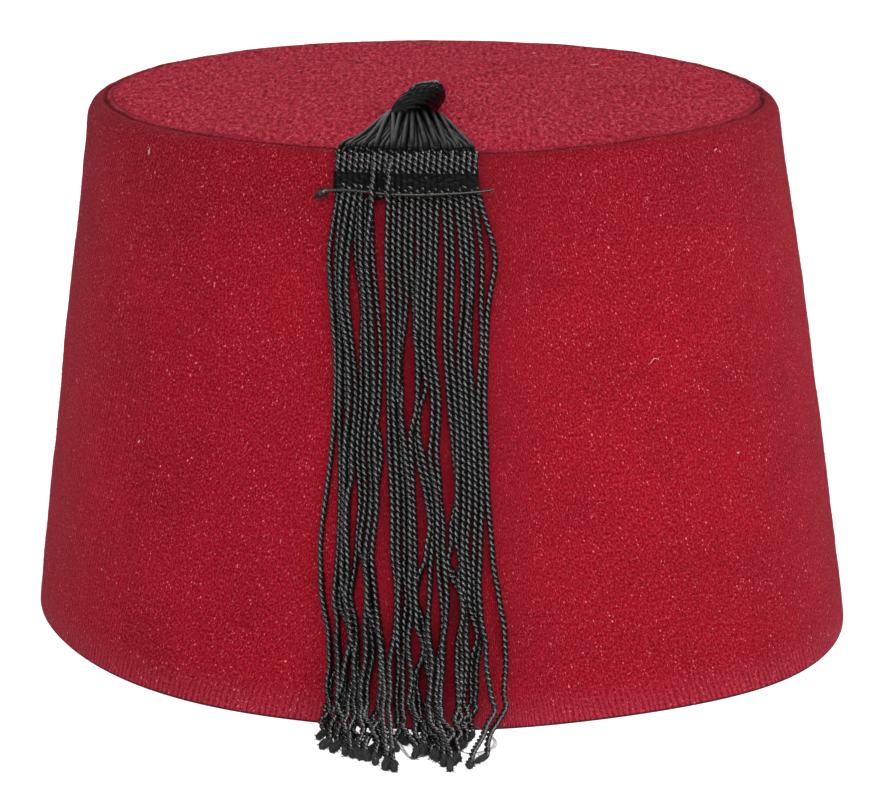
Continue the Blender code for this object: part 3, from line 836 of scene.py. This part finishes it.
def skirt_routes():
    """Where each cord lies over the wall: sideways place and lift at each height, with no cord in another."""
    heights = np.linspace(6.1, 108.9, 104)
    stations = np.array(SKIRT_HEIGHTS[::-1])
    sides, lifts = [], []
    radius = CORD_DIAMETER / 2 / MM
    for number, cord in enumerate(CORDS):
        route, _ = smooth_route([(s, z, 0) for s, z in zip(cord.sides[::-1], stations)], 0.5)
        sides.append(np.interp(heights, route[:, 1], route[:, 0]))
        lift = radius + 0.35 + 0.55 * waves(heights, number * 7.3, 0.07)
        if cord.name in FRONT_CORDS:
            lift = lift + 1.5 * np.clip((heights - 92) / 14, 0, 1)
        if cord.name in HIDDEN_STARTS or cord.name.startswith("b"):
            lift = lift - 0.5
        lifts.append(lift)
    sides, lifts = np.array(sides), np.array(lifts)
    low = np.clip((46 - heights) / 30, 0, 1)
    for number in range(len(CORDS)):
        sides[number] += 1.3 * low * waves(heights, number * 5.1, 0.17)
        lifts[number] += low * (0.4 + 1.2 * waves(heights, number * 9.7, 0.17))
    wanted = np.array([clear_of_windows(heights, side) for side in sides])
    contact = CORD_DIAMETER / MM * 0.90
    for _ in range(60):
        for a in range(len(sides)):
            for b in range(a + 1, len(sides)):
                step_side = sides[b] - sides[a]
                step_lift = lifts[b] - lifts[a]
                apart = np.hypot(step_side, step_lift) + 1e-6
                push = np.maximum(contact - apart, 0) / 2
                if push.max() > 0:
                    sides[a] -= push * step_side / apart * 0.5
                    sides[b] += push * step_side / apart * 0.5
                    lifts[a] -= push * step_lift / apart
                    lifts[b] += push * step_lift / apart
        sides += (wanted - sides) * 0.15
        sides = np.array([clear_of_windows(heights, side) for side in sides])
        sides[:, 1:-1] = (sides[:, :-2] + 2 * sides[:, 1:-1] + sides[:, 2:]) / 4
        lifts[:, 1:-1] = (lifts[:, :-2] + 2 * lifts[:, 1:-1] + lifts[:, 2:]) / 4
        lifts = np.maximum(lifts * 0.995, radius)
    for number, cord in enumerate(CORDS):
        leave = 24 + 14 * wobble(number * 2.7, 1.0, 3.0)
        flare = np.clip((leave - heights) / (leave - 6), 0, 1) ** 1.7
        lifts[number] += 0.36 * cord.tip[1] * flare
    lifts = np.maximum(lifts, radius)
    return heights, sides, lifts


def wall_foot():
    """How far forward the wall's foot is, at the skirt's middle."""
    return -on_wall(TASSEL_X, 0.0, 0.0).y


def band_place(number):
    """How far along X one of the band's cords is."""
    return TASSEL_X + (BAND_LEFT + BAND_PITCH * number) * MM


def band_stations(x):
    """A cord's way from the crease over the shoulder and under the woven strip."""
    radius = CORD_DIAMETER / 2
    points = [on_shoulder(x, 0.30, radius * 0.75)]
    for share in (0.42, 0.6, 0.8, 1.0):
        points.append(on_shoulder(x, share, radius * 1.05))
    points.append(on_wall(x, 0.1122, radius * 1.0))
    return points


def band_starts():
    """The band's place for each cord that comes out of it."""
    plain = [c.name for c in CORDS if c.name not in HIDDEN_STARTS + FRONT_CORDS]
    free = [n for n in range(BAND_CORDS) if n not in STUBS]
    return {name: band_place(number) for name, number in zip(plain, free)}


def cord_stations(cord, heights, sides, lifts):
    """The points that one cord passes through, from the band to its tip on the floor."""
    radius = CORD_DIAMETER / 2
    starts = band_starts()
    points = []
    if cord.name in FRONT_CORDS:
        first = TASSEL_X + sides[-1] * MM
        for share, lift in ((0.62, 0.9), (0.85, 2.2), (1.0, 2.9)):
            points.append(on_shoulder(first, share, radius * lift))
        points.append(on_wall(first, 0.1118, radius * 4.2))
    elif cord.name in starts:
        points += band_stations(starts[cord.name])
    for z, side, lift in list(zip(heights, sides, lifts))[::-2]:
        points.append(on_wall(TASSEL_X + side * MM, z * MM, lift * MM))
    return points + floor_run(points[-1], cord.bend, cord.tip)


def floor_run(leave, bend, tip):
    """The last of a cord's way: off the wall's foot in a loose curling arc, down to the floor."""
    radius = CORD_DIAMETER / 2 / MM
    foot = -wall_foot() / MM
    start = np.array(leave) / MM
    short = 1.0 - 0.22 * abs(wobble(bend[0] * 5.0, 3.0, 1.0)) * (tip[1] < 19)
    end = np.array((TASSEL_X / MM + tip[0], foot - tip[1] * short, radius * 1.3))
    middle = (start + end) / 2 - (0.0, 0.0, 0.6)
    middle[0] = TASSEL_X / MM + bend[0]
    run = []
    for share in (0.22, 0.44, 0.62, 0.80):
        arc = (1 - share) ** 2 * start + 2 * share * (1 - share) * middle + share ** 2 * end
        curl = [wobble(bend[0] * 3.1, share * 3.4, k * 5.0) for k in range(3)]
        arc = arc + np.array(curl) * (2.3, 0.9, 1.4)
        arc[1] = min(arc[1], foot - 0.9)
        arc[2] = max(arc[2], radius * 1.1)
        run.append(Vector(arc * MM))
    return run + [Vector(end * MM)]


# A back-row cord's height in mm, its share of its own place, and its lift: mm, then as a share of its reach
LOOSE_SHARES = (
    (6.0, 1.0, 0.34),
    (8.0, 0.90, 0.25),
    (10.0, 0.70, 0.18),
    (13.0, 0.42, 0.11),
    (16.0, 0.18, 0.05),
    (20.0, 0.0, -0.10),
    (25.0, 0.0, -0.35),
    (30.0, 0.0, -0.35),
)


def loose_stations(end, heights, sides):
    """The way of a back-row cord near the floor: it comes out from behind the nearest longer cord."""
    nearest = int(np.argmin(np.abs(sides[:, 14] - end.foot)))
    stretch = 1 + 0.5 * wobble(end.foot * 3.3, end.out, 2.0)
    ups, own, out = np.array(LOOSE_SHARES).T
    ups = 6.0 + (ups - 6.0) * stretch
    behind = np.interp(ups, heights, sides[nearest])
    places = clear_of_windows(ups, behind + (end.foot - behind) * own)
    lifts = CORD_DIAMETER / 2 / MM + np.where(own > 0, out * end.out, out)
    points = [on_wall(TASSEL_X + side * MM, z * MM, lift * MM) for z, side, lift in zip(ups, places, lifts)]
    middle = (end.foot + end.side) / 2
    return points[::-1] + floor_run(points[0], (middle, end.out * 0.45), (end.side, end.out))


def stub_stations(x):
    """The way of a band cord that turns back behind the thread."""
    radius = CORD_DIAMETER / 2
    points = band_stations(x)
    for step, z, lift in ((0.0, 0.1108, 1.1), (0.0003, 0.1091, 1.6), (0.0006, 0.1099, 2.6)):
        points.append(on_wall(x + step, z, radius * lift))
    return points


# Round one ply: share of its half turn, and distance from the cord's middle
PLY_OUTLINE = ((0.0, 0.38), (0.14, 0.66), (0.26, 0.90), (0.40, 1.0), (0.60, 1.0), (0.74, 0.90), (0.86, 0.66))


def ply_section():
    """Turn and reach of one round of a twisted cord's section, with a groove between its plies."""
    turns, reaches = [], []
    for ply in range(CORD_PLIES):
        for turn, reach in PLY_OUTLINE:
            turns.append(2 * math.pi * (ply + turn) / CORD_PLIES)
            reaches.append(reach)
    return np.array(turns), np.array(reaches)


def make_cords(finish):
    """The skirt's cords, each swept along its own route with its plies twisted round it."""
    turns, reaches = ply_section()
    heights, sides, lifts = skirt_routes()
    ends = []
    runs = [cord_stations(cord, heights, *at) for cord, *at in zip(CORDS, sides, lifts)]
    runs += [loose_stations(end, heights, sides) for end in LOOSE_ENDS]
    runs += [stub_stations(band_place(number)) for number in STUBS]
    for number in range(CORD_PIECES):
        skin = Skin()
        for i in range(number, len(runs), CORD_PIECES):
            points, along = smooth_route(runs[i], CORD_STEP)
            twist = -2 * math.pi * along / CORD_LAY + i * 1.7
            thick = np.array([1 + 0.05 * wobble(s * 300, i * 3.1, 0) for s in along])
            rings = rings_along(points, turns[None] + twist[:, None],
                                reaches[None] * CORD_DIAMETER / 2 * thick[:, None])
            rings[..., 2] = np.maximum(rings[..., 2], 0.00005)
            skin.tube(rings, along / MM, math.pi * CORD_DIAMETER / MM)
            if i < len(CORDS) + len(LOOSE_ENDS):
                ends.append((points[-1], points[-1] - points[-5]))
        nodes = ("tassel",) if number == 0 else ()
        skin.piece("skirt_cords_%d" % (number + 1), finish, "black_cord", *nodes)
    return ends


def make_cord_ends(finish, ends):
    """The knotted, frayed end of each cord: a lumpy body and loose filaments."""
    random = np.random.default_rng(7)
    skin = Skin()
    turns = full_turn(12)
    corners = full_turn(3)
    shares = np.array((-0.60, -0.42, -0.22, 0.02, 0.24, 0.40, 0.48))
    girths = np.array((0.66, 0.86, 0.98, 1.00, 0.88, 0.60, 0.26))
    for number, (tip, way) in enumerate(ends):
        way = way / np.linalg.norm(way) + random.normal(0, 0.28, 3) * (1, 0.5, 0.6)
        way = way / np.linalg.norm(way)
        size = random.uniform(0.66, 1.08)
        girth = girths * 0.98 * MM * size
        length = 3.0 * MM * random.uniform(0.80, 1.20)
        middle = tip - way * 0.2 * MM
        points = middle + way * (shares * length)[:, None]
        points[:, 2] = np.maximum(points[:, 2], girth * 0.9)
        lumps = np.array([[1 + 0.45 * wobble(math.cos(t) * 1.4, math.sin(t) * 1.4 + s * 5, number * 5.0)
                           for t in turns] for s in shares])
        rings = rings_along(points, turns, girth[:, None] * lumps, (0, 0, 1))
        rings[..., 2] = np.maximum(rings[..., 2], 0.0001)
        skin.tube(rings, shares * length / MM, 6.0)
        for _ in range(60):
            spread = random.normal(0, 1, 3)
            spread -= way * (spread @ way)
            spread /= np.linalg.norm(spread)
            start = middle + way * length * random.uniform(-0.5, 0.45) + spread * 0.75 * MM * size
            heading = way * random.uniform(-0.3, 1.2) + spread * random.uniform(0.3, 0.8)
            heading /= np.linalg.norm(heading)
            reach = random.uniform(0.2, 0.75) * MM
            line = np.array([start, start + heading * reach + random.normal(0, 0.1, 3) * MM])
            line[:, 2] = np.clip(line[:, 2], 0.00008, 0.0026)
            thin = np.array((0.080, 0.030))[:, None] * MM
            rings = rings_along(line, corners, thin, (0.1, 0.2, 1))
            skin.tube(rings, (0.0, 1.0), 0.3)
    return skin.piece("cord_ends", finish, "black_cord")


def make_floor_loops(finish):
    """The fine filaments that curl over the floor, several side by side."""
    skin = Skin()
    turns = full_turn(5)
    for loop in FLOOR_LOOPS:
        for strand in range(LOOP_STRANDS):
            aside = (strand - LOOP_STRANDS / 2) * 0.16
            stations = []
            for number, (x, y, z) in enumerate(loop):
                drift = wobble(number * 1.7, strand * 3.1, 2.0) * 0.5
                out = wall_foot() + (y + aside + drift) * MM
                stations.append((TASSEL_X + (x + aside) * MM, -out, z * MM))
            line, reach = smooth_route(stations, 0.0006)
            rings = rings_along(line, turns, LOOP_RADIUS, (0, 0, 1))
            skin.tube(rings, reach / MM, 0.3)
    return skin.piece("floor_loops", finish, "black_cord")


# Loose filaments, in mm: sideways, out from the wall's foot, and up
LOOP_STRANDS = 6
LOOP_RADIUS = 0.00004
FLOOR_LOOPS = (
    ((13.5, 1.0, 1.2), (16.5, 5.0, 0.5), (17.4, 9.5, 0.3), (15.6, 14.0, 0.3), (12.0, 16.0, 0.4),
     (9.6, 15.0, 0.8)),
    ((-3.6, 4.0, 1.4), (-2.2, 9.0, 0.4), (-1.2, 14.5, 0.3), (0.6, 19.0, 0.3), (2.4, 18.0, 0.8)),
)


class FanCord(NamedTuple):
    """One gathered cord over the top: mm sideways at the knot, half way and at the crease."""
    start: float
    middle: float
    foot: float
    rise: float          # how far it lies over the cords below it, as a share of its diameter


FAN_CORDS = [FanCord(*row) for row in (
    (-5.6, -9.0, -13.0, 0.35), (-5.4, -7.4, -10.2, 0.60), (-5.1, -6.4, -7.6, 0.85), (-4.3, -4.2, -4.2, 1.00),
    (-2.4, -3.2, -3.9, 1.30), (-1.0, -1.5, -2.0, 1.05), (-0.4, -0.2, -0.2, 1.25), (0.3, 1.4, 2.7, 1.10),
    (1.6, 3.2, 4.9, 1.30), (3.6, 5.2, 6.8, 0.95), (5.0, 7.1, 9.3, 0.60), (5.4, 8.7, 12.0, 0.35),
)]


# Share of the way to the crease, and the hump by the knot there
FAN_HUMPS = ((-0.04, -0.2), (0.07, 0.25), (0.30, 0.5), (0.55, 0.4), (0.80, 0.25), (0.95, 0.10))


def fan_route(start, middle, foot, rise):
    """The way of one gathered cord, over the hump by the knot and down to the crease."""
    stations = []
    for along, hump in FAN_HUMPS:
        low = start + (middle - start) * min(along / 0.5, 1.0)
        side = low if along < 0.5 else middle + (foot - middle) * (along - 0.5) / 0.5
        near = math.exp(-(side / 7.0) ** 2)
        lift = FAN_CORD_DIAMETER * (0.45 + 0.8 * rise * min(1.0, 1.6 - along * 1.4) + hump * near)
        stations.append(on_top(TASSEL_X + side * MM, along, lift))
    for share, lift in ((0.15, 0.40), (0.34, 0.52), (0.50, 0.50)):
        stations.append(on_shoulder(TASSEL_X + foot * MM, share, FAN_CORD_DIAMETER * lift))
    return smooth_route(stations, FAN_STEP)


def make_fan(finish):
    """Smooth gathered cords over the top, from under the knot to the band."""
    skin = Skin()
    turns = full_turn(14)
    routes = []
    for number in range(BAND_CORDS):
        foot = BAND_LEFT + BAND_PITCH * number
        routes.append((fan_route(foot * 0.30, foot * 0.60, foot * 0.97, 0.0), 0.86))
    for row in FAN_CORDS:
        routes.append((fan_route(row.start, row.middle, row.foot, row.rise), 1.0))
    for number, ((points, reach), thick) in enumerate(routes):
        girth = FAN_CORD_DIAMETER / 2 * thick * (0.86 + 0.16 * reach / reach[-1])
        girth = girth * np.array([1 + 0.16 * wobble(r * 260, number * 3.3, 1.0) for r in reach])
        ribs = 1 + 0.05 * np.cos(2 * math.pi * reach / FAN_RIB + number)
        rings = rings_along(points, turns, (girth * ribs)[:, None], (0, 0, 1))
        skin.tube(rings, reach / MM, math.pi * FAN_CORD_DIAMETER / MM)
    return skin.piece("fan_cords", finish, "black_cord")


def make_band(finish):
    """The woven strip that holds the cords flat above the thread, ribbed over each cord."""
    low, high = 0.1102, 0.1143
    threads = 12
    columns = 192
    cords = [BAND_LEFT + BAND_PITCH * number for number in range(BAND_CORDS)]
    left, right = cords[0] - 0.72, cords[-1] + 0.72
    xs = np.linspace(left, right, columns)
    rows = np.linspace(low, high, threads * 3 + 1)
    front, back = [], []
    for r, z in enumerate(rows):
        weft = 0.5 + 0.5 * math.cos(2 * math.pi * (z - low) / (high - low) * threads)
        line_front, line_back = [], []
        for x in xs:
            near = min(abs(x - c) for c in cords)
            rib = math.cos(min(near / 0.62, 1.0) * math.pi / 2)
            over = math.cos(math.pi * (round((x - left) / 1.23) + int((z - low) / (high - low) * threads)))
            uneven = wobble(x * 0.9, z * 1400, 3.0)
            proud = 0.34 * rib + 0.10 * weft * (0.5 + 0.5 * over) + 0.14 * uneven - 0.28
            line_front.append(tuple(on_wall(TASSEL_X + x * MM, z, CORD_DIAMETER + proud * MM)))
            line_back.append(tuple(on_wall(TASSEL_X + x * MM, z, CORD_DIAMETER * 0.80)))
        front.append(line_front)
        back.append(line_back)
    skin = Skin()
    rings = np.concatenate([np.array(front), np.array(back)[:, ::-1]], axis=1)
    across = np.concatenate([xs, xs[::-1], xs[:1]])
    skin.wrap(rings, np.stack(np.meshgrid(across, rows / MM), axis=2))
    return skin.piece("woven_band", finish, "black_cord")


def make_knot(finish):
    """The wound neck: strands that run round it in a long twist."""
    centre = crown_axis(HEIGHT)
    surface = HEIGHT + TOP_RISE
    length = FAN_START - GAP
    stations, girths = [], []
    for row in KNOT:
        radius = KNOT_HEIGHT * row.girth / 2
        z = surface + GAP + KNOT_HEIGHT * row.lift + radius
        forward = KNOT_FORWARD * max(row.along - 0.5, 0.0) * 2
        stations.append((centre.x + KNOT_SIDEWAYS * row.side, centre.y - length * row.along - forward, z))
        girths.append(radius)
    points, reach = smooth_route(stations, KNOT_STEP)
    marks = np.concatenate([[0], np.cumsum(np.linalg.norm(np.diff(np.array(stations), axis=0), axis=1))])
    wide, _ = smooth_route([(m, g, 0) for m, g in zip(marks, girths)], 0.0002)
    radius = np.interp(reach / reach[-1], wide[:, 0] / marks[-1], wide[:, 1])
    columns = 98
    strands = 14
    turns = full_turn(columns)
    twist = 2 * math.pi * reach / KNOT_LAY
    angles = turns[None] + twist[:, None]
    ridge = np.abs(np.cos(turns * strands / 2))[None] ** 0.7
    wraps = np.cos(2 * math.pi * reach / KNOT_WRAP)[:, None] * 0.020
    lumps = np.array([[wobble(math.cos(t) * 1.6, math.sin(t) * 1.6, s * 260) for t in turns]
                      for s in reach]) * 0.10
    shape = 0.90 + 0.12 * ridge + wraps + lumps
    rings = rings_along(points, angles, radius[:, None] * shape, (0, 0, 1))
    rings[..., 2] = np.maximum(rings[..., 2], surface + 0.0001)
    skin = Skin()
    skin.tube(rings, reach / MM, math.pi * KNOT_HEIGHT / MM)
    return skin.piece("neck_knot", finish, "black_silk", "tassel_knot")


class ThreadPart(NamedTuple):
    """One place along the binding thread, in mm."""
    side: float          # from the skirt's middle
    height: float
    lift: float          # off the wall
    girth: float         # diameter


THREAD = (
    ThreadPart(-19.7, 109.0, 1.5, 0.9),
    ThreadPart(-19.3, 109.1, 1.6, 1.7),
    ThreadPart(-18.6, 109.4, 1.7, 2.0),
    ThreadPart(-17.9, 109.9, 1.8, 1.6),
    ThreadPart(-17.4, 110.2, 1.8, 0.75),
    ThreadPart(-14.0, 110.6, 1.9, 0.62),
    ThreadPart(-9.5, 110.5, 2.0, 0.62),
    ThreadPart(-6.0, 110.2, 2.0, 0.60),
    ThreadPart(-3.0, 110.1, 2.0, 0.66),
    ThreadPart(2.5, 110.1, 2.0, 0.66),
    ThreadPart(3.6, 110.2, 2.1, 1.15),
    ThreadPart(4.5, 110.2, 2.0, 0.66),
    ThreadPart(11.0, 110.5, 1.9, 0.60),
    ThreadPart(15.0, 110.8, 1.8, 0.58),
    ThreadPart(16.4, 111.0, 1.6, 0.50),
)


def make_thread(finish):
    """The stiff thread across the band, with its knotted left end and a small knot in its run."""
    stations = [on_wall(TASSEL_X + row.side * MM, row.height * MM, row.lift * MM) for row in THREAD]
    points, reach = smooth_route(stations, THREAD_STEP)
    sides = [TASSEL_X + row.side * MM for row in THREAD]
    girth = np.interp(points[:, 0], sides, [row.girth for row in THREAD])
    turns = full_turn(12)
    twist = 2 * math.pi * reach / THREAD_LAY
    lumps = np.array([1 + 0.10 * wobble(s * 900, 3.0, 0) for s in reach])
    shape = 1 + 0.07 * np.cos(2 * turns)[None]
    rings = rings_along(points, turns[None] + twist[:, None],
                        girth[:, None] / 2 * MM * lumps[:, None] * shape, (0, -1, 0))
    skin = Skin()
    skin.tube(rings, reach / MM, 2.5)
    return skin.piece("stiff_thread", finish, "grey_thread", "binding_thread")


def make_fuzz(finish, name, on_wall_side, count):
    """Loose wool fibres that stand out of the felt, round the wall or over the top."""
    random = np.random.default_rng(count)
    skin = Skin()
    disc = TOP_DIAMETER / 2 - SHOULDER_RADIUS
    corners = full_turn(3)
    for _ in range(count):
        angle = random.uniform(0, 2 * math.pi)
        if on_wall_side:
            z = random.uniform(0.001, HEIGHT - SHOULDER_RADIUS * 0.6)
            out = np.array((math.cos(angle), math.sin(angle), 0.12))
            base = np.array(crown_axis(z)) + out * (1, 1, 0) * (wall_radius(angle, z) - 0.00002)
        else:
            radius = disc * math.sqrt(random.uniform())
            out = np.array((0.0, 0.0, 1.0))
            x = TOP_SHIFT_X + radius * math.cos(angle)
            y = TOP_SHIFT_Y + radius * math.sin(angle)
            base = np.array((x, y, HEIGHT + TOP_RISE * (1 - (radius / disc) ** 2)))
        lie = random.normal(0, 1, 3)
        lie -= out * (lie @ out) / (out @ out)
        lie /= np.linalg.norm(lie)
        length = random.uniform(0.35, 1.0) * MM
        rise = random.uniform(0.12, 0.50)
        tip = base + (lie * 0.9 + out * rise) * length
        if on_wall_side:
            bend = base + (lie * 0.5 + out * rise * 0.6) * length
            line = np.array([base, bend, tip + random.normal(0, 0.12, 3) * length])
        else:
            line = np.array([base, tip])
        thin = np.array((0.034, 0.028, 0.016))[:len(line), None] * MM
        rings = rings_along(line, corners, thin, out)
        skin.tube(rings, np.linspace(0, 1, len(line)), 0.3)
    return skin.piece(name, finish, "red_felt")


class Lint(NamedTuple):
    """A bit of lint on the felt: degrees from +X and mm up the wall, or mm over the top."""
    where: str
    first: float
    second: float
    length: float        # mm
    turn: float          # degrees its length leans
    girth: float         # mm


LINTS = (
    Lint("wall", -141.0, 113.4, 1.4, 80, 0.32),
    Lint("wall", -40.2, 114.4, 0.9, 30, 0.26),
    Lint("wall", -138.0, 52.2, 0.9, 60, 0.30),
    Lint("wall", -43.6, 51.0, 0.9, 10, 0.24),
    Lint("wall", -57.4, 73.5, 3.2, 22, 0.12),
    Lint("top", 34.6, 32.6, 2.2, 25, 0.16),
    Lint("top", 21.1, 49.7, 1.4, 70, 0.16),
)


def make_lint(finish):
    """The few pale bits that cling to the felt."""
    skin = Skin()
    corners = full_turn(5)
    for number, lint in enumerate(LINTS):
        lean = math.radians(lint.turn)
        if lint.where == "wall":
            angle, z = math.radians(lint.first), lint.second * MM
            out = Vector((math.cos(angle), math.sin(angle), 0))
            middle = crown_axis(z) + out * (wall_radius(angle, z) + 0.0001)
            way = Vector((-out.y, out.x, 0)) * math.cos(lean) + Vector((0, 0, math.sin(lean)))
        else:
            out = Vector((0, 0, 1))
            middle = Vector((lint.first * MM, lint.second * MM, HEIGHT + TOP_RISE * 0.5 + 0.0002))
            way = Vector((math.cos(lean), math.sin(lean), 0))
        stations = []
        for share in np.linspace(-0.5, 0.5, 6):
            sway = out.cross(way) * wobble(share * 5, number * 4.0, 0) * 0.3
            lift = out * (0.10 + 0.10 * math.cos(share * 3)) * 0.3
            stations.append(middle + (way * share + sway + lift) * lint.length * MM)
        line = np.array([tuple(p) for p in stations])
        thin = np.array((0.3, 0.8, 1.0, 0.9, 0.7, 0.3))[:, None] * lint.girth / 2 * MM
        rings = rings_along(line, corners, thin, tuple(out))
        skin.tube(rings, np.linspace(0, lint.length, 6), 0.6)
    return skin.piece("lint", finish, "red_felt")


# Setting

def make_floor():
    """A plain pale floor, evenly bright."""
    look = Look("floor", Roughness=0.9, Base_Color=(0.55, 0.55, 0.55, 1),
                Emission_Color=(1, 1, 1, 1), Emission_Strength=0.80)
    mesh = bpy.data.meshes.new("floor")
    half = 6.0
    corners = [(-half, -half, 0), (half, -half, 0), (half, half, 0), (-half, half, 0)]
    mesh.from_pydata(corners, [], [(0, 1, 2, 3)])
    mesh.materials.append(look.material)
    floor = place("floor", mesh)
    floor.visible_glossy = False


class Lamp(NamedTuple):
    """A soft light that faces the hat: its place and size in metres, and its watts."""
    name: str
    place: tuple
    wide: float
    high: float
    power: float


ROOM_LIGHT = 0.06
LIT_HEIGHT = 0.06
LAMPS = (
    Lamp("above", (0.30, -0.58, 0.95), 1.80, 0.22, 11.6),
    Lamp("front", (-0.05, -1.30, 0.42), 0.80, 0.50, 3.8),
    Lamp("right", (0.90, -0.95, 0.55), 0.50, 0.50, 3.8),
    Lamp("left", (-0.90, -0.95, 0.60), 0.45, 0.45, 1.4),
    Lamp("right_side", (1.15, -0.10, 0.80), 1.50, 0.22, 3.2),
    Lamp("left_side", (-1.15, -0.10, 0.80), 1.50, 0.22, 3.4),
    Lamp("behind", (-0.10, 1.15, 0.42), 0.60, 0.60, 2.0),
)


def make_lights():
    """A dim room, a wide soft light above the front and weaker ones all round."""
    world = bpy.data.worlds.new("room")
    world.use_nodes = True
    world.node_tree.nodes["Background"].inputs["Color"].default_value = (1, 1, 1, 1)
    world.node_tree.nodes["Background"].inputs["Strength"].default_value = ROOM_LIGHT
    bpy.context.scene.world = world
    for lamp in LAMPS:
        data = bpy.data.lights.new(lamp.name, "AREA")
        data.shape = "RECTANGLE"
        data.size = lamp.wide
        data.size_y = lamp.high
        data.energy = lamp.power
        light = place(lamp.name, data)
        light.location = lamp.place
        light.rotation_mode = "QUATERNION"
        light.rotation_quaternion = (Vector((0, 0, LIT_HEIGHT)) - light.location).to_track_quat("-Z", "Y")


def make_camera():
    """The photo's camera."""
    pitch, yaw = CAMERA_PITCH, CAMERA_YAW
    ahead = Vector((math.sin(yaw) * math.cos(pitch), math.cos(yaw) * math.cos(pitch), -math.sin(pitch)))
    level = Vector((math.cos(yaw), -math.sin(yaw), 0))
    upward = level.cross(ahead)
    right = level * math.cos(CAMERA_ROLL) + upward * math.sin(CAMERA_ROLL)
    up = upward * math.cos(CAMERA_ROLL) - level * math.sin(CAMERA_ROLL)
    data = bpy.data.cameras.new("camera")
    data.sensor_width = SENSOR
    data.lens = FOCAL_PIXELS / IMAGE_WIDTH * SENSOR
    camera = place("camera", data)
    turn = Matrix((right, up, -ahead)).transposed()
    camera.matrix_world = Matrix.Translation(CAMERA_PLACE) @ turn.to_4x4()
    bpy.context.scene.camera = camera


def main():
    """Makes every piece and the setting."""
    bpy.context.scene.view_settings.view_transform = "Standard"
    make_camera()
    make_lights()
    make_floor()
    make_crown(felt_look())
    make_fuzz(plain_look("wall_fibre", (0.62, 0.07, 0.11, 1)), "wall_fibres", True, WALL_FIBRES)
    make_fuzz(plain_look("top_fibre", (0.72, 0.08, 0.13, 1)), "top_fibres", False, TOP_FIBRES)
    make_lint(plain_look("lint", (0.55, 0.42, 0.36, 1)))
    ends = make_cords(silk_look("cord_silk", (0.0016, 0.0020, 0.0016), 0.27, 1.0, 9.0, 0.00004))
    make_cord_ends(silk_look("frayed_silk", (0.036, 0.036, 0.036), 0.90, 0.10, 3.0, 0.00030), ends)
    make_floor_loops(plain_look("loose_silk", (0.16, 0.16, 0.16, 1)))
    make_fan(silk_look("fan_silk", (0.0020, 0.0025, 0.0020), 0.40, 0.045, 9.0, 0.00010))
    make_band(silk_look("band_silk", (0.0016, 0.0018, 0.0016), 0.45, 0.12, 9.0, 0.00010))
    make_knot(silk_look("wound_silk", (0.001, 0.001, 0.001), 0.18, 0.15, 5.0, 0.00026))
    make_thread(silk_look("waxed_thread", (0.012, 0.011, 0.008), 0.30, 0.8, 8.0, 0.00005))


main()
